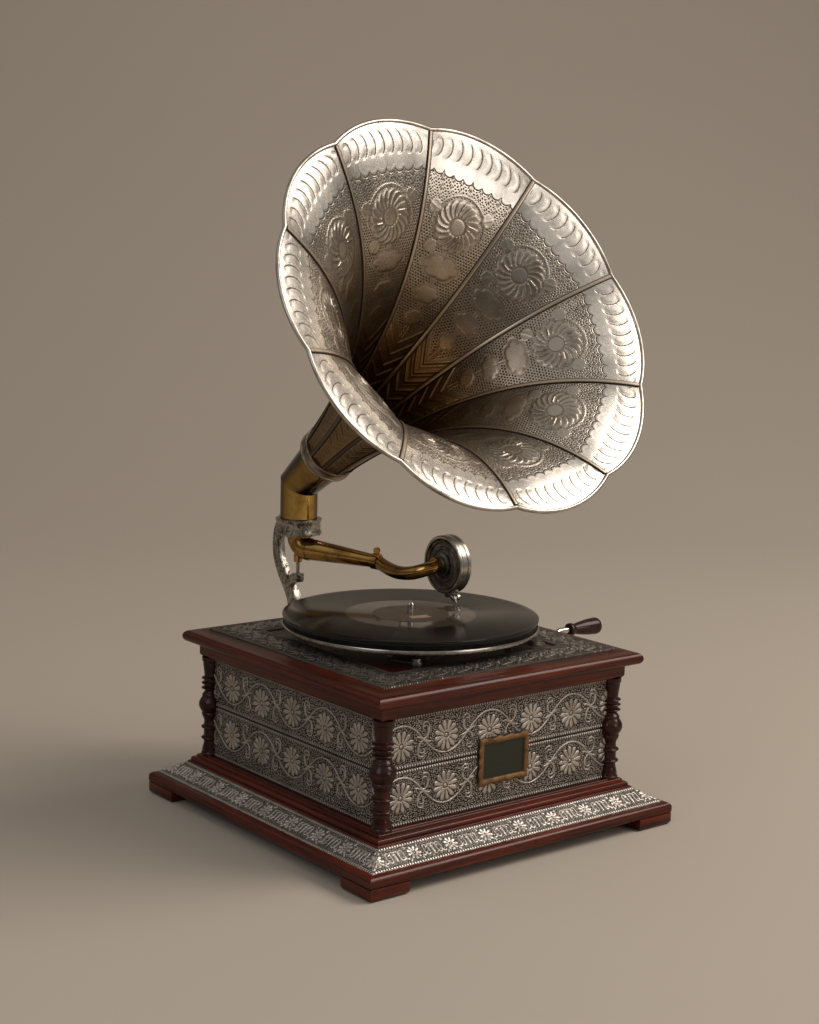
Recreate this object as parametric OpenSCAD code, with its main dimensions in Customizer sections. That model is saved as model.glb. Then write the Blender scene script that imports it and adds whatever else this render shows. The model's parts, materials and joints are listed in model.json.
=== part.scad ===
// Table gramophone with a ten-petal metal horn, a square panelled cabinet and a spring motor.
// Millimetres. Origin on the floor under the middle of the cabinet and of the turntable,
// X to the right as seen from the front, the front panel faces -Y, Z up.

/* [Cabinet] */
// Height of the feet
foot_h = 12; // [8:0.5:20]
// Side of a foot
foot_w = 44; // [30:1:60]
// Height of the base board's upright edge
base_edge_h = 6.1; // [4:0.1:12]
// Height of the rounded edge above it
base_round_h = 4.6; // [3:0.1:8]
// Depth of the rounded edge
base_round_d = 7; // [4:0.5:12]
// Height of the metal-clad slope
slope_h = 12.7; // [8:0.1:20]
// Depth of the metal-clad slope
slope_d = 21.8; // [16:0.1:26]
// Height of the step moulding above the slope
step_h = 8.6; // [6:0.1:14]
// Depth of the step moulding's curves
step_d = 6.7; // [4:0.1:8]
// Outer width of the four walls
body_w = 283.4; // [276:0.2:288]
// Width of the flat ledge round the walls, on the step moulding
ledge_w = 10.1; // [9:0.1:14]
// Height of the walls and columns
wall_h = 102.1; // [95:0.1:130]
// Thickness of a wall
wall_t = 12; // [8:0.5:15]
// Width of the notch in each corner that a column stands in
notch = 14.7; // [13:0.1:18]
// Thickness of the embossed metal sheets
sheet_t = 1; // [0.6:0.1:1.5]
// How far the frieze moulding stands out past the walls
frieze_out = 8.7; // [6:0.1:12]
// Height of the frieze moulding
frieze_h = 12.5; // [8:0.5:20]
// How far the top board stands out past the frieze
top_out = 12.8; // [10:0.1:18]
// Thickness of the top board
top_h = 15.7; // [13:0.1:22]
// Width of the bare wood round the metal border on the top
bare_w = 19.4; // [15:0.1:26]
// Width of the lift-out motor board
motor_board_w = 206; // [196:1:220]
// Thickness of the motor board
motor_board_t = 8; // [6:0.5:10]
// Width of the brass plate on the front
plate_w = 61; // [40:1:80]
// Height of the brass plate on the front
plate_h = 44; // [30:1:60]

/* [Columns] */
// Radius of the columns' rings
ring_r = 10; // [8:0.5:11]
// Radius of the belly
belly_r = 12.6; // [10:0.1:12.8]
// Radius of the thin necks
neck_r = 6.6; // [5:0.1:7.5]

/* [Turntable] */
// Height of the record's top above the floor
record_z = 199.9; // [197:0.1:208]
// Radius of the ten-inch record
record_r = 127; // [120:1:127]
// Thickness of the record
record_t = 2.2; // [1.8:0.1:3]
// Radius of the paper label
label_r = 38; // [30:1:45]
// Thickness of the felt
felt_t = 2; // [1:0.1:3]
// Height of the platter's rim
rim_h = 8.2; // [6:0.1:10]
// Radius of the spindle where it carries the record
spindle_r = 3.5; // [3:0.1:3.6]
// Radius of the spindle in its bearings
shaft_r = 4; // [3.8:0.1:5]
// How far the spindle stands above the record
spindle_up = 11.5; // [6:0.5:14]

/* [Horn] */
// Number of petals
petals = 10; // [8:1:12]
// Radius of the mouth at a seam
mouth_r = 195; // [185:1:200]
// How far a petal bulges past its seams at the rim
lobe = 7; // [0:0.5:10]
// Length from the elbow's mitre to the mouth, along the axis
horn_len = 343.8; // [330:0.1:350]
// Rise of the horn's axis above level
horn_rise = 34.6; // [32:0.1:38]
// Heading of the horn's axis, from straight ahead to the left
horn_heading = 1.6; // [0:0.1:5]
// Forward lean of the mouth against the axis
mouth_tilt = 3.8; // [0:0.1:5]
// Thickness of the petals
petal_t = 1.2; // [1:0.1:2]
// Width of a seam
seam_w = 3; // [2:0.1:4]
// Radius of the rolled rim wire
wire_r = 2; // [1.5:0.1:3]
// Radius of the horn where it leaves the tail ring
tail_r = 28.3; // [28:0.1:32]
// Radius of the elbow's upright pipe
pipe_r = 20; // [19.5:0.1:22]
// Wall of the brass pipes
pipe_t = 1.5; // [1:0.1:2]

/* [Tone arm] */
// Distance of the horn and tone arm axis behind the middle
pivot_y = 195; // [190:1:204]
// Height of the elbow's mitre
mitre_z = 307; // [300:1:315]
// Height of the bracket's collar, at its underside
collar_z = 252; // [248:1:256]
// Height of the collar ring
collar_h = 17; // [14:1:20]
// Radius of the collar
collar_r = 23.5; // [22:0.5:26]
// Height of the tone arm's axis at its elbow
arm_z = 236.5; // [232:0.5:238]
// Radius of the tone arm at its elbow
arm_r = 12; // [11:0.5:13]
// Radius of the tone arm at its thin end
arm_end_r = 7; // [6:0.5:8]
// Length of the tone arm from its axis to the gooseneck
arm_len = 95; // [90:1:100]
// Angle of the tone arm from straight ahead, at rest
arm_turn = 20.4; // [19:0.1:24]
// Slope of the tone arm downwards
arm_dip = 2.4; // [0:0.1:4]
// Radius of the sound box
soundbox_r = 30; // [26:0.5:31]
// Depth of the sound box
soundbox_t = 15; // [12:0.5:18]

/* [Crank] */
// Height of the crank shaft
crank_z = 88; // [86:0.5:90]
// Distance of the grip's axis from the shaft
crank_arm_l = 72; // [66:0.5:74]
// Length of the turned grip
grip_l = 45; // [40:1:70]
// Largest radius of the grip
grip_r = 9; // [7:0.5:12]
// Radius of the crank's bent rod
rod_r = 3.5; // [3:0.1:5]

/* [Motor] */
// Thickness of the motor plates
plate_t = 2.5; // [2:0.1:4]
// Height of the lower plate's underside
motor_z = 98; // [96:0.5:100]
// Height of the upper plate's underside
motor_top_z = 148; // [146:0.5:152]
// Gear module
gear_m = 1; // [1:0.1:1]
// Teeth of every small pinion
pinion_teeth = 12; // [12:1:14]
// Teeth of the two large wheels
wheel_teeth = 72; // [70:1:74]
// Teeth of the spring barrel
barrel_teeth = 84; // [80:1:86]
// Teeth of the winding wheel
winding_teeth = 32; // [30:1:34]

/* [Hidden] */
$fn = 64;

// Clearances
fit = 0.05;
gap = 0.3;
over = 1;

// Heights of the cabinet, from the floor up
z_base = foot_h;
z_edge = z_base + base_edge_h;
z_slope = z_edge + base_round_h;
z_slope_top = z_slope + slope_h;
z_step = z_slope_top + step_h;
z_frieze = z_step + wall_h;
z_top = z_frieze + frieze_h;
z_board = z_top + top_h;
z_border = z_board + sheet_t;

// Half widths of the cabinet
wall_x = body_w / 2;
step_x = wall_x + ledge_w;
slope_in_x = step_x + step_d;
slope_x = slope_in_x + slope_d;
base_x = slope_x + base_round_d;
wall_in_x = wall_x - wall_t;
wall_end = wall_x - notch;
post_in = wall_in_x - wall_t;
sheet_x = wall_x + sheet_t;
column_x = wall_x;
frieze_x = wall_x + frieze_out;
frieze_in = wall_in_x - 2;
top_x = frieze_x + top_out;
border_x = top_x - bare_w;
deck_x = motor_board_w / 2;
well_x = deck_x - 8;

// Turntable heights
platter_z = record_z - record_t - felt_t;
rim_z = platter_z - rim_h;
platter_t = 2;
hub_z = rim_z - 3.5;
spindle_z = motor_z - 6;

// Motor places
pinion_r = pinion_teeth * gear_m / 2;
wheel_r = wheel_teeth * gear_m / 2;
barrel_r = barrel_teeth * gear_m / 2;
winding_r = winding_teeth * gear_m / 2;
worm_r = 6;
worm_lead = PI * gear_m;
idler_turn = 30;
idler_pos = [(wheel_r + pinion_r) * cos(idler_turn), (wheel_r + pinion_r) * sin(idler_turn)];
barrel_turn = -20;
barrel_pos = idler_pos + (barrel_r + pinion_r) * [cos(barrel_turn), sin(barrel_turn)];
governor_turn = 225;
governor_pos = (wheel_r + pinion_r) * [cos(governor_turn), sin(governor_turn)];
low_wheel_z = motor_z + plate_t + 4.5;
high_wheel_z = motor_top_z - 9;
barrel_gear_z = high_wheel_z - 11;
wheel_t = 6;
arbor_r = 3;
motor_corners = [[-74, -68], [28, -72], [124, -60], [125, 62], [34, 84], [-62, 74], [-74, 60]];
pillar_pos = [[-52, 48], [-40, -62], [18, -62], [116, -48], [116, 52], [34, 72]];
bolt_pos = [[-48, 60], [-60, -44], [40, -60], [86, 60]];
brake_pos = [60, -81];
speed_pos = [-65, -91];

// Crank place
crank_y = barrel_pos[1] - winding_r - worm_r;
grip_y = -5;
crank_lean = asin((grip_y - crank_y) / crank_arm_l);
crank_x = base_x + 4.7;
rod_bend = 9;
grip_x = crank_x + rod_bend + 12;
escutcheon_t = 3;

// Base board and its metal slope

// A square piece whose four sides all have the outline given as the child
module four_sided(width) {
    intersection() {
        rotate([90, 0, 0]) linear_extrude(width, center = true) children();
        rotate([90, 0, 90]) linear_extrude(width, center = true) children();
    }
}

module both_sides(half) {
    polygon(concat(half, [for (i = [len(half) - 1:-1:0]) [-half[i][0], half[i][1]]]));
}

module square_frame(outer, inner, z, h) {
    translate([0, 0, z])
        linear_extrude(h)
            difference() {
                square(2 * outer, center = true);
                square(2 * inner, center = true);
            }
}

slope_drop = slope_h / slope_d;

module base_board() {
    rounded = [for (a = [0:15:90]) [slope_x + base_round_d * cos(a), z_edge + base_round_h * sin(a)]];
    outline = concat(
        [[base_x, z_base]], rounded,
        [[slope_x, z_slope - sheet_t], [slope_in_x, z_slope_top - sheet_t]]
    );
    color("#5a1e12") four_sided(2 * base_x + over) both_sides(outline);
}

module foot() {
    edge = 4;
    module side() {
        translate([0, edge]) square([foot_w, foot_h - edge]);
        translate([edge, 0]) square([foot_w - 2 * edge, edge + 0.01]);
        for (x = [edge, foot_w - edge]) translate([x, edge]) circle(edge);
    }
    intersection() {
        translate([0, foot_w, 0]) rotate([90, 0, 0]) linear_extrude(foot_w) side();
        rotate([90, 0, 90]) linear_extrude(foot_w) side();
    }
}

module feet() {
    far = base_x - foot_w;
    color("#4a160e")
        for (x = [-base_x, far], y = [-base_x, far])
            translate([x, y, 0]) foot();
}

module base_cladding() {
    reach = 2;
    color("#9a988e")
        difference() {
            four_sided(2 * base_x) both_sides([
                [slope_x, z_slope - sheet_t], [slope_x, z_slope], [slope_in_x, z_slope_top]
            ]);
            four_sided(2 * base_x) both_sides([
                [slope_x + reach, z_slope - sheet_t - reach * slope_drop],
                [slope_in_x, z_slope_top - sheet_t],
                [slope_in_x, z_slope_top + reach]
            ]);
        }
}

module step_moulding() {
    lip = 0.28 * step_h;
    torus_r = (step_h - lip) / 2;
    z0 = z_slope_top - sheet_t;
    torus_x = step_x + 0.2 * step_d;
    torus = [for (a = [-60:20:90]) [torus_x + torus_r * cos(a), z_step - lip - torus_r + torus_r * sin(a)]];
    outline = concat(
        [[slope_in_x, z0], [slope_in_x, z_slope_top + 1], [slope_in_x - 1.5, z_slope_top + 1.6]],
        torus,
        [[step_x, z_step - lip + 0.6], [step_x, z_step]]
    );
    bead_r = 0.14 * ledge_w;
    color("#5a1e12") {
        difference() {
            four_sided(2 * base_x) both_sides(outline);
            translate([-post_in, -post_in, z0 - over]) cube([2 * post_in, 2 * post_in, step_h + 2 * over]);
        }
        for (a = [0:90:270])
            rotate([0, 0, a])
                translate([0, -step_x + 3 * bead_r, z_step])
                    rotate([0, 90, 0]) cylinder(r = bead_r, h = 2 * wall_end, center = true);
    }
}

// Walls, posts and the embossed sheets

// One wall, on the -Y side
module wall() {
    translate([-wall_end, -wall_x, z_step]) cube([2 * wall_end, wall_t, wall_h]);
}

module front_wall() { color("#43140d") wall(); }

module back_wall() {
    color("#43140d")
        difference() {
            rotate([0, 0, 180]) wall();
            bracket_holes();
        }
}

module left_wall() { color("#43140d") rotate([0, 0, -90]) wall(); }

module right_wall() {
    color("#43140d")
        difference() {
            rotate([0, 0, 90]) wall();
            crank_hole(7);
        }
}

module corner_posts() {
    side = wall_in_x - post_in;
    color("#2a0d09")
        for (a = [0:90:270])
            rotate([0, 0, a])
                translate([post_in, post_in, z_step]) cube([side, side, wall_h]);
}

bead_zs = [z_step + 3, z_step + wall_h / 2 - 5, z_step + wall_h / 2 + 5, z_step + wall_h - 3];

// One embossed sheet with its raised borders, on the -Y side
module sheet() {
    bead_r = 1.3;
    translate([-wall_end, -sheet_x, z_step + gap]) cube([2 * wall_end, sheet_t, wall_h - 2 * gap]);
    intersection() {
        translate([-wall_end, -sheet_x - 2, z_step]) cube([2 * wall_end, 2 + sheet_t / 2, wall_h]);
        for (z = bead_zs)
            translate([0, -sheet_x, z])
                rotate([0, 90, 0]) cylinder(r = bead_r, h = 2 * wall_end, center = true);
    }
}

module front_cladding() {
    color("#8f8d84")
        difference() {
            sheet();
            translate([-plate_w / 2 - gap, -sheet_x - 4, plate_z - plate_h / 2 - gap])
                cube([plate_w + 2 * gap, 4, plate_h + 2 * gap]);
        }
}

module back_cladding() {
    color("#8f8d84")
        difference() {
            rotate([0, 0, 180]) sheet();
            translate([-foot_plate_w / 2 - gap, sheet_x, foot_plate_z - gap])
                cube([foot_plate_w + 2 * gap, 4, foot_plate_h + 2 * gap]);
            bracket_holes();
        }
}

module left_cladding() { color("#8f8d84") rotate([0, 0, -90]) sheet(); }

module right_cladding() {
    color("#8f8d84")
        difference() {
            rotate([0, 0, 90]) sheet();
            crank_hole(escutcheon_r + gap, sheet_x);
            crank_hole(7);
        }
}

plate_z = 86;

// Brass plate on the front, with a raised rim round its bare field
module front_plate() {
    rim = 5;
    color("#a88a4a")
        translate([0, -sheet_x, plate_z])
            rotate([90, 0, 0])
                difference() {
                    linear_extrude(3) square([plate_w, plate_h], center = true);
                    translate([0, 0, 1.4])
                        linear_extrude(3) square([plate_w - 2 * rim, plate_h - 2 * rim], center = true);
                }
}

// Turned corner columns

// Outline of a column, as radius and share of the height from the bottom up
module column_outline() {
    h = wall_h;
    function swell(z0, z1, r0, r1, steps = 12) = [
        for (i = [0:steps]) [r0 + (r1 - r0) * sin(180 * i / steps), h * (z0 + (z1 - z0) * i / steps)]
    ];
    function taper(z0, z1, r0, r1, steps = 8) = [
        for (i = [0:steps]) [r0 + (r1 - r0) * (1 - cos(180 * i / steps)) / 2, h * (z0 + (z1 - z0) * i / steps)]
    ];
    polygon(concat(
        [[0, 0], [ring_r, 0], [ring_r, 0.03 * h]],
        taper(0.05, 0.15, ring_r - 1, neck_r + 0.6),
        swell(0.16, 0.20, neck_r + 0.8, ring_r, 6),
        [[neck_r + 0.8, 0.22 * h]],
        swell(0.27, 0.31, neck_r + 0.8, ring_r, 6),
        [[neck_r + 0.4, 0.34 * h]],
        taper(0.35, 0.43, neck_r + 0.4, ring_r - 0.4),
        swell(0.44, 0.60, ring_r - 1, belly_r),
        taper(0.61, 0.66, ring_r - 0.6, neck_r),
        swell(0.67, 0.70, neck_r + 0.6, ring_r, 6),
        swell(0.72, 0.75, neck_r + 0.9, ring_r, 6),
        swell(0.77, 0.80, neck_r + 0.9, ring_r, 6),
        taper(0.81, 0.95, neck_r + 0.6, ring_r - 1.4),
        [[ring_r - 0.4, 0.96 * h], [ring_r - 0.4, h], [0, h]]
    ));
}

module corner_columns() {
    color("#431309")
        for (x = [-column_x, column_x], y = [-column_x, column_x])
            translate([x, y, z_step]) rotate_extrude() column_outline();
}

// Top mouldings and boards

module frieze_moulding() {
    soft = 3.5;
    rounded = [for (a = [-90:15:0]) [frieze_x - soft + soft * cos(a), z_frieze + soft + soft * sin(a)]];
    color("#43140d")
        difference() {
            four_sided(2 * base_x) both_sides(concat(rounded, [[frieze_x, z_top]]));
            translate([-frieze_in, -frieze_in, z_frieze - over])
                cube([2 * frieze_in, 2 * frieze_in, frieze_h + 2 * over]);
        }
}

module top_board() {
    nose_r = 4.3;
    nose = [for (a = [-70:20:70]) [top_x - nose_r + nose_r * cos(a), z_board - 8.8 + nose_r * sin(a)]];
    cove_r = 3.6;
    cove = [for (a = [0:15:90]) [top_x - 5.5 - cove_r * sin(a), z_board - 0.9 - cove_r * cos(a)]];
    outline = concat(
        [[frieze_x + 2, z_top], [top_x - 5, z_top + 1.2]], nose, cove,
        [[top_x - 5.5 - cove_r - 0.6, z_board]]
    );
    color("#6a2415")
        difference() {
            four_sided(2 * top_x + over) both_sides(outline);
            translate([-well_x, -well_x, z_top - over]) cube([2 * well_x, 2 * well_x, top_h + 2 * over]);
            translate([-deck_x - gap, -deck_x - gap, z_board - motor_board_t])
                cube([2 * (deck_x + gap), 2 * (deck_x + gap), motor_board_t + over]);
        }
}

module top_cladding() {
    rope_r = 1.1;
    color("#8f8d84")
        difference() {
            union() {
                square_frame(border_x, deck_x + gap, z_board, sheet_t);
                for (a = [0:90:270])
                    rotate([0, 0, a])
                        translate([0, -border_x + rope_r, z_border])
                            rotate([0, 90, 0]) cylinder(r = rope_r, h = 2 * (border_x - rope_r), center = true);
            }
            translate([-border_x, -border_x, z_board - over - 1]) cube([2 * border_x, 2 * border_x, 1 + over]);
        }
}

bolt_r = 2.5;

module motor_board() {
    color("#4d1a10")
        difference() {
            translate([-deck_x, -deck_x, z_board - motor_board_t])
                cube([motor_board_w, motor_board_w, motor_board_t]);
            translate([0, 0, z_top]) cylinder(r = shaft_r + 3, h = top_h + over);
            for (p = bolt_pos) {
                translate([p[0], p[1], z_top]) cylinder(r = bolt_r + fit, h = top_h + over);
                translate([p[0], p[1], z_board - 3]) cylinder(r = 2 * bolt_r + fit, h = 3 + over);
            }
            translate([brake_pos[0], brake_pos[1], z_top]) cylinder(r = 2.5 + fit, h = top_h + over);
            translate([speed_pos[0], speed_pos[1], z_top]) cylinder(r = 2.5 + fit, h = top_h + over);
        }
}

// Motor plates, pillars and bolts

module motor_plate(z, hole) {
    difference() {
        translate([0, 0, z])
            linear_extrude(plate_t)
                polygon(motor_corners);
        translate([0, 0, z - over]) cylinder(r = shaft_r + fit, h = plate_t + 2 * over);
        translate([idler_pos[0], idler_pos[1], z - over]) cylinder(r = arbor_r + fit, h = plate_t + 2 * over);
        translate([governor_pos[0], governor_pos[1], z - over]) cylinder(r = 2 + fit, h = plate_t + 2 * over);
        translate([barrel_pos[0], barrel_pos[1], z - over]) cylinder(r = hole + fit, h = plate_t + 2 * over);
        for (p = pillar_pos)
            translate([p[0], p[1], z - over]) cylinder(r = 2 + fit, h = plate_t + 2 * over);
    }
}

module motor_top_plate() {
    color("#6f6a60")
        difference() {
            motor_plate(motor_top_z, arbor_r + 2);
            for (p = bolt_pos)
                translate([p[0], p[1], motor_top_z - over])
                    cylinder(r = bolt_r + fit, h = plate_t + 2 * over);
        }
}

bearing_xs = [barrel_pos[0] - 20, barrel_pos[0] + 20];

// Lower plate with the spindle's step bearing and the two hangers of the crank shaft
module motor_bottom_plate() {
    hanger_t = 5;
    color("#6f6a60")
        difference() {
            union() {
                motor_plate(motor_z, arbor_r + 2);
                translate([0, 0, spindle_z - 2])
                    difference() {
                        cylinder(r = shaft_r + 4, h = motor_z - spindle_z + 2);
                        translate([0, 0, 2]) cylinder(r = shaft_r + fit, h = motor_z);
                    }
                for (x = bearing_xs)
                    translate([x - hanger_t / 2, crank_y - 8, crank_z])
                        cube([hanger_t, 16, motor_z - crank_z]);
                for (x = bearing_xs)
                    translate([x - hanger_t / 2, crank_y, crank_z])
                        rotate([0, 90, 0]) cylinder(r = 8, h = hanger_t);
            }
            for (x = bearing_xs)
                translate([x - hanger_t, crank_y, crank_z])
                    rotate([0, 90, 0]) cylinder(r = crank_r + fit, h = 2 * hanger_t);
        }
}

module motor_pillars() {
    tall = motor_top_z - motor_z - plate_t;
    color("#b9b4a4")
        for (p = pillar_pos)
            translate([p[0], p[1], motor_z]) {
                cylinder(r = 2, h = tall + 2 * plate_t);
                translate([0, 0, plate_t]) cylinder(r = 4, h = tall);
            }
}

// Countersunk bolts that hang the motor on its board, with their spacer sleeves
module motor_bolts() {
    low = motor_top_z - 4;
    color("#b9b4a4")
        for (p = bolt_pos)
            translate([p[0], p[1], 0]) {
                translate([0, 0, low]) cylinder(r = bolt_r, h = z_board - 3 - low);
                translate([0, 0, z_board - 3]) cylinder(r = 2 * bolt_r, h = 2.6);
                translate([0, 0, motor_top_z + plate_t])
                    cylinder(r = 5, h = z_board - motor_board_t - motor_top_z - plate_t);
                translate([0, 0, low]) cylinder(r = 4.5, h = 4, $fn = 6);
            }
}

// Gears

// A spur wheel's outline, with a tooth on the +X axis turned by turn
module spur_outline(teeth, turn) {
    r = teeth * gear_m / 2;
    pitch = 360 / teeth;
    function corner(radius, share, i) =
        [radius * cos(turn + pitch * (i + share)), radius * sin(turn + pitch * (i + share))];
    polygon([
        for (i = [0:teeth - 1])
            for (c = [[r - 1.1 * gear_m, -0.26], [r, -0.19], [r + 0.8 * gear_m, -0.08],
                      [r + 0.8 * gear_m, 0.08], [r, 0.19], [r - 1.1 * gear_m, 0.26]])
                corner(c[0], c[1], i)
    ]);
}

// Large wheel with six round openings between its spokes
module light_wheel(teeth, turn, bore, h) {
    r = teeth * gear_m / 2;
    linear_extrude(h)
        difference() {
            spur_outline(teeth, turn);
            circle(bore);
            for (a = [0:60:300]) rotate(a) translate([r * 0.58, 0]) circle(r * 0.22);
        }
}

half_pitch_wheel = 180 / wheel_teeth;

module spindle() {
    top = record_z + spindle_up;
    color("#c9c9c6")
        translate([0, 0, spindle_z + gap])
            union() {
                cylinder(r = shaft_r, h = hub_z - spindle_z - gap);
                cylinder(r = spindle_r, h = top - 2 - spindle_z - gap);
                translate([0, 0, top - 2 - spindle_z - gap]) cylinder(r1 = spindle_r, r2 = 1.6, h = 2);
                translate([0, 0, high_wheel_z - 2 - spindle_z - gap])
                    linear_extrude(wheel_t + 3) spur_outline(pinion_teeth, idler_turn);
            }
}

// Fibre wheel that drives the governor
module governor_wheel() {
    color("#7a5a33")
        translate([0, 0, low_wheel_z]) {
            light_wheel(wheel_teeth, governor_turn + half_pitch_wheel, shaft_r + fit, wheel_t);
            translate([0, 0, wheel_t])
                difference() {
                    cylinder(r = 9, h = 5);
                    translate([0, 0, -over]) cylinder(r = shaft_r + fit, h = 5 + 2 * over);
                }
        }
}

module platter() {
    skirt_t = 2.2;
    nose = 1.2;
    hub_r = 13;
    hub_flare = 2.5;
    color("#c8c6c0")
        difference() {
            rotate_extrude($fn = 128)
                polygon([
                    [0, hub_z], [hub_r, hub_z], [hub_r, platter_z - platter_t - hub_flare],
                    [hub_r + hub_flare, platter_z - platter_t], [record_r - skirt_t, platter_z - platter_t],
                    [record_r - skirt_t, rim_z + nose], [record_r - nose, rim_z],
                    [record_r, rim_z + nose], [record_r, platter_z - nose],
                    [record_r - nose, platter_z], [0, platter_z]
                ]);
            translate([0, 0, hub_z - over]) cylinder(r = spindle_r + fit, h = platter_z);
        }
}

module washer(r, bore, z, h) {
    difference() {
        translate([0, 0, z]) cylinder(r = r, h = h, $fn = 128);
        translate([0, 0, z - over]) cylinder(r = bore, h = h + 2 * over);
    }
}

module felt_mat() { color("#20211d") washer(record_r - 1.5, spindle_r + 0.5, platter_z, felt_t); }

module record() { color("#151515") washer(record_r, spindle_r + 0.15, record_z - record_t, record_t); }

module record_label() { color("#7a6a55") washer(label_r, spindle_r + 0.3, record_z, 0.15); }

// Spring barrel: a drum with its toothed rim, open inside for the mainspring
drum_r = barrel_r - 4;
drum_low = motor_z + plate_t + 2;
drum_top = barrel_gear_z + wheel_t;

module spring_barrel() {
    wall = 2;
    color("#b08d45")
        translate([barrel_pos[0], barrel_pos[1], 0])
            difference() {
                union() {
                    translate([0, 0, drum_low]) cylinder(r = drum_r, h = drum_top - drum_low);
                    translate([0, 0, barrel_gear_z])
                        linear_extrude(wheel_t) spur_outline(barrel_teeth, barrel_turn + 180);
                }
                translate([0, 0, drum_low + wall]) cylinder(r = drum_r - wall, h = drum_top - drum_low - 2 * wall);
                translate([0, 0, drum_low - over])
                    cylinder(r = arbor_r + 2 + fit, h = drum_top - drum_low + 2 * over);
            }
}

// Mainspring, run down against the drum's wall
module mainspring() {
    turns = 7;
    strip = 0.6;
    space = 1.5;
    outer = drum_r - 2 - gap - strip;
    steps = 24;
    function at(i, extra) =
        let (r = outer - space * i / steps + extra, a = 360 * i / steps) [r * cos(a), r * sin(a)];
    last = turns * steps;
    color("#5d6066")
        translate([barrel_pos[0], barrel_pos[1], drum_low + 2 + gap])
            linear_extrude(drum_top - drum_low - 4 - 2 * gap)
                polygon(concat([for (i = [0:last]) at(i, strip)], [for (i = [last:-1:0]) at(i, 0)]));
}

// Winding wheel on the barrel's arbor, driven by the crank shaft's worm
module winding_wheel() {
    worm_face = 4;
    low = crank_z - worm_face / 2;
    color("#a8894a")
        translate([barrel_pos[0], barrel_pos[1], 0])
            union() {
                translate([0, 0, low]) linear_extrude(worm_face) spur_outline(winding_teeth, -90 + 180 / winding_teeth);
                translate([0, 0, low - 3]) cylinder(r = arbor_r + 2, h = motor_top_z + plate_t + 3 - low);
            }
}

// Intermediate arbor: large wheel to the spindle's pinion, small pinion to the barrel
module intermediate_gear() {
    color("#b08d45")
        translate([idler_pos[0], idler_pos[1], 0])
            union() {
                translate([0, 0, high_wheel_z])
                    light_wheel(wheel_teeth, idler_turn + 180 + half_pitch_wheel, arbor_r - 0.5, wheel_t);
                translate([0, 0, motor_z]) cylinder(r = arbor_r, h = motor_top_z + plate_t - motor_z);
                translate([0, 0, barrel_gear_z - 1])
                    linear_extrude(high_wheel_z - barrel_gear_z + 1)
                        spur_outline(pinion_teeth, barrel_turn + 180 / pinion_teeth);
            }
}

// Governor

gov_low = low_wheel_z + wheel_t + 5;
gov_top = gov_low + 24;
weight_r = 11;
disc_r = 14;

module governor_shaft() {
    color("#c9c9c6")
        translate([governor_pos[0], governor_pos[1], 0])
            union() {
                translate([0, 0, motor_z]) cylinder(r = 2, h = motor_top_z + plate_t - motor_z);
                translate([0, 0, low_wheel_z - 1])
                    linear_extrude(wheel_t + 2) spur_outline(pinion_teeth, governor_turn + 180);
                translate([0, 0, gov_low - 4]) cylinder(r = 5, h = 4);
            }
}

module around_governor() {
    translate([governor_pos[0], governor_pos[1], 0])
        for (a = [0:120:240]) rotate([0, 0, a]) children();
}

module governor_weights() {
    color("#b08d45")
        around_governor()
            translate([weight_r + 0.6, 0, (gov_low + gov_top) / 2 - 4])
                intersection() {
                    translate([4, 0, 4]) sphere(5.5);
                    cube([12, 12, 16], center = true);
                    translate([0, -6, -2]) cube([12, 12, 12]);
                }
}

// Three bowed leaf springs between the fixed collar and the sliding disc's hub
module governor_springs() {
    leaf_t = 0.5;
    bow = weight_r - 5;
    steps = 12;
    high = gov_top - gov_low;
    function at(i, extra) = [5 + bow * sin(180 * i / steps) + extra, gov_low - 4 + (high + 4) * i / steps];
    color("#8c8f92")
        around_governor()
            translate([0, 2, 0])
                rotate([90, 0, 0])
                    linear_extrude(4)
                        polygon(concat(
                            [for (i = [0:steps]) at(i, 0.1)],
                            [for (i = [steps:-1:0]) at(i, 0.1 + leaf_t)]
                        ));
}

module governor_disc() {
    color("#c9a65a")
        translate([governor_pos[0], governor_pos[1], gov_top - 4])
            difference() {
                union() {
                    cylinder(r = 5, h = 6);
                    translate([0, 0, 4.4]) cylinder(r = disc_r, h = 1.6);
                }
                translate([0, 0, -over]) cylinder(r = 2 + fit, h = 6 + 2 * over);
            }
}

// Crank

crank_r = 4.5;
escutcheon_r = 17;

module crank_hole(r, from = 0) {
    start = from == 0 ? wall_in_x - over : from;
    translate([start, crank_y, crank_z]) rotate([0, 90, 0]) cylinder(r = r, h = 2 * wall_t);
}

module crank_escutcheon() {
    color("#a88a4a")
        translate([sheet_x, crank_y, crank_z])
            rotate([0, 90, 0])
                difference() {
                    union() {
                        cylinder(r = escutcheon_r, h = 1.6);
                        cylinder(r = 9, h = escutcheon_t + 3);
                    }
                    translate([0, 0, -over]) cylinder(r = crank_r + fit, h = escutcheon_t + 5);
                }
}

// Crank shaft with its worm, which is a round rod turned off its centre into one thread
module crank_shaft() {
    start = bearing_xs[0] - 6;
    worm_l = 13;
    slices = 48;
    off = 0.55;
    core = worm_r - 0.95;
    color("#8f8b80")
        union() {
            translate([start, crank_y, crank_z])
                rotate([0, 90, 0]) cylinder(r = crank_r, h = crank_x - start);
            translate([barrel_pos[0] - worm_l / 2, crank_y, crank_z])
                rotate([0, 90, 0])
                    linear_extrude(worm_l, twist = -360 * worm_l / worm_lead, slices = slices, $fn = 14)
                        translate([off, 0]) circle(core);
        }
}

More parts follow.
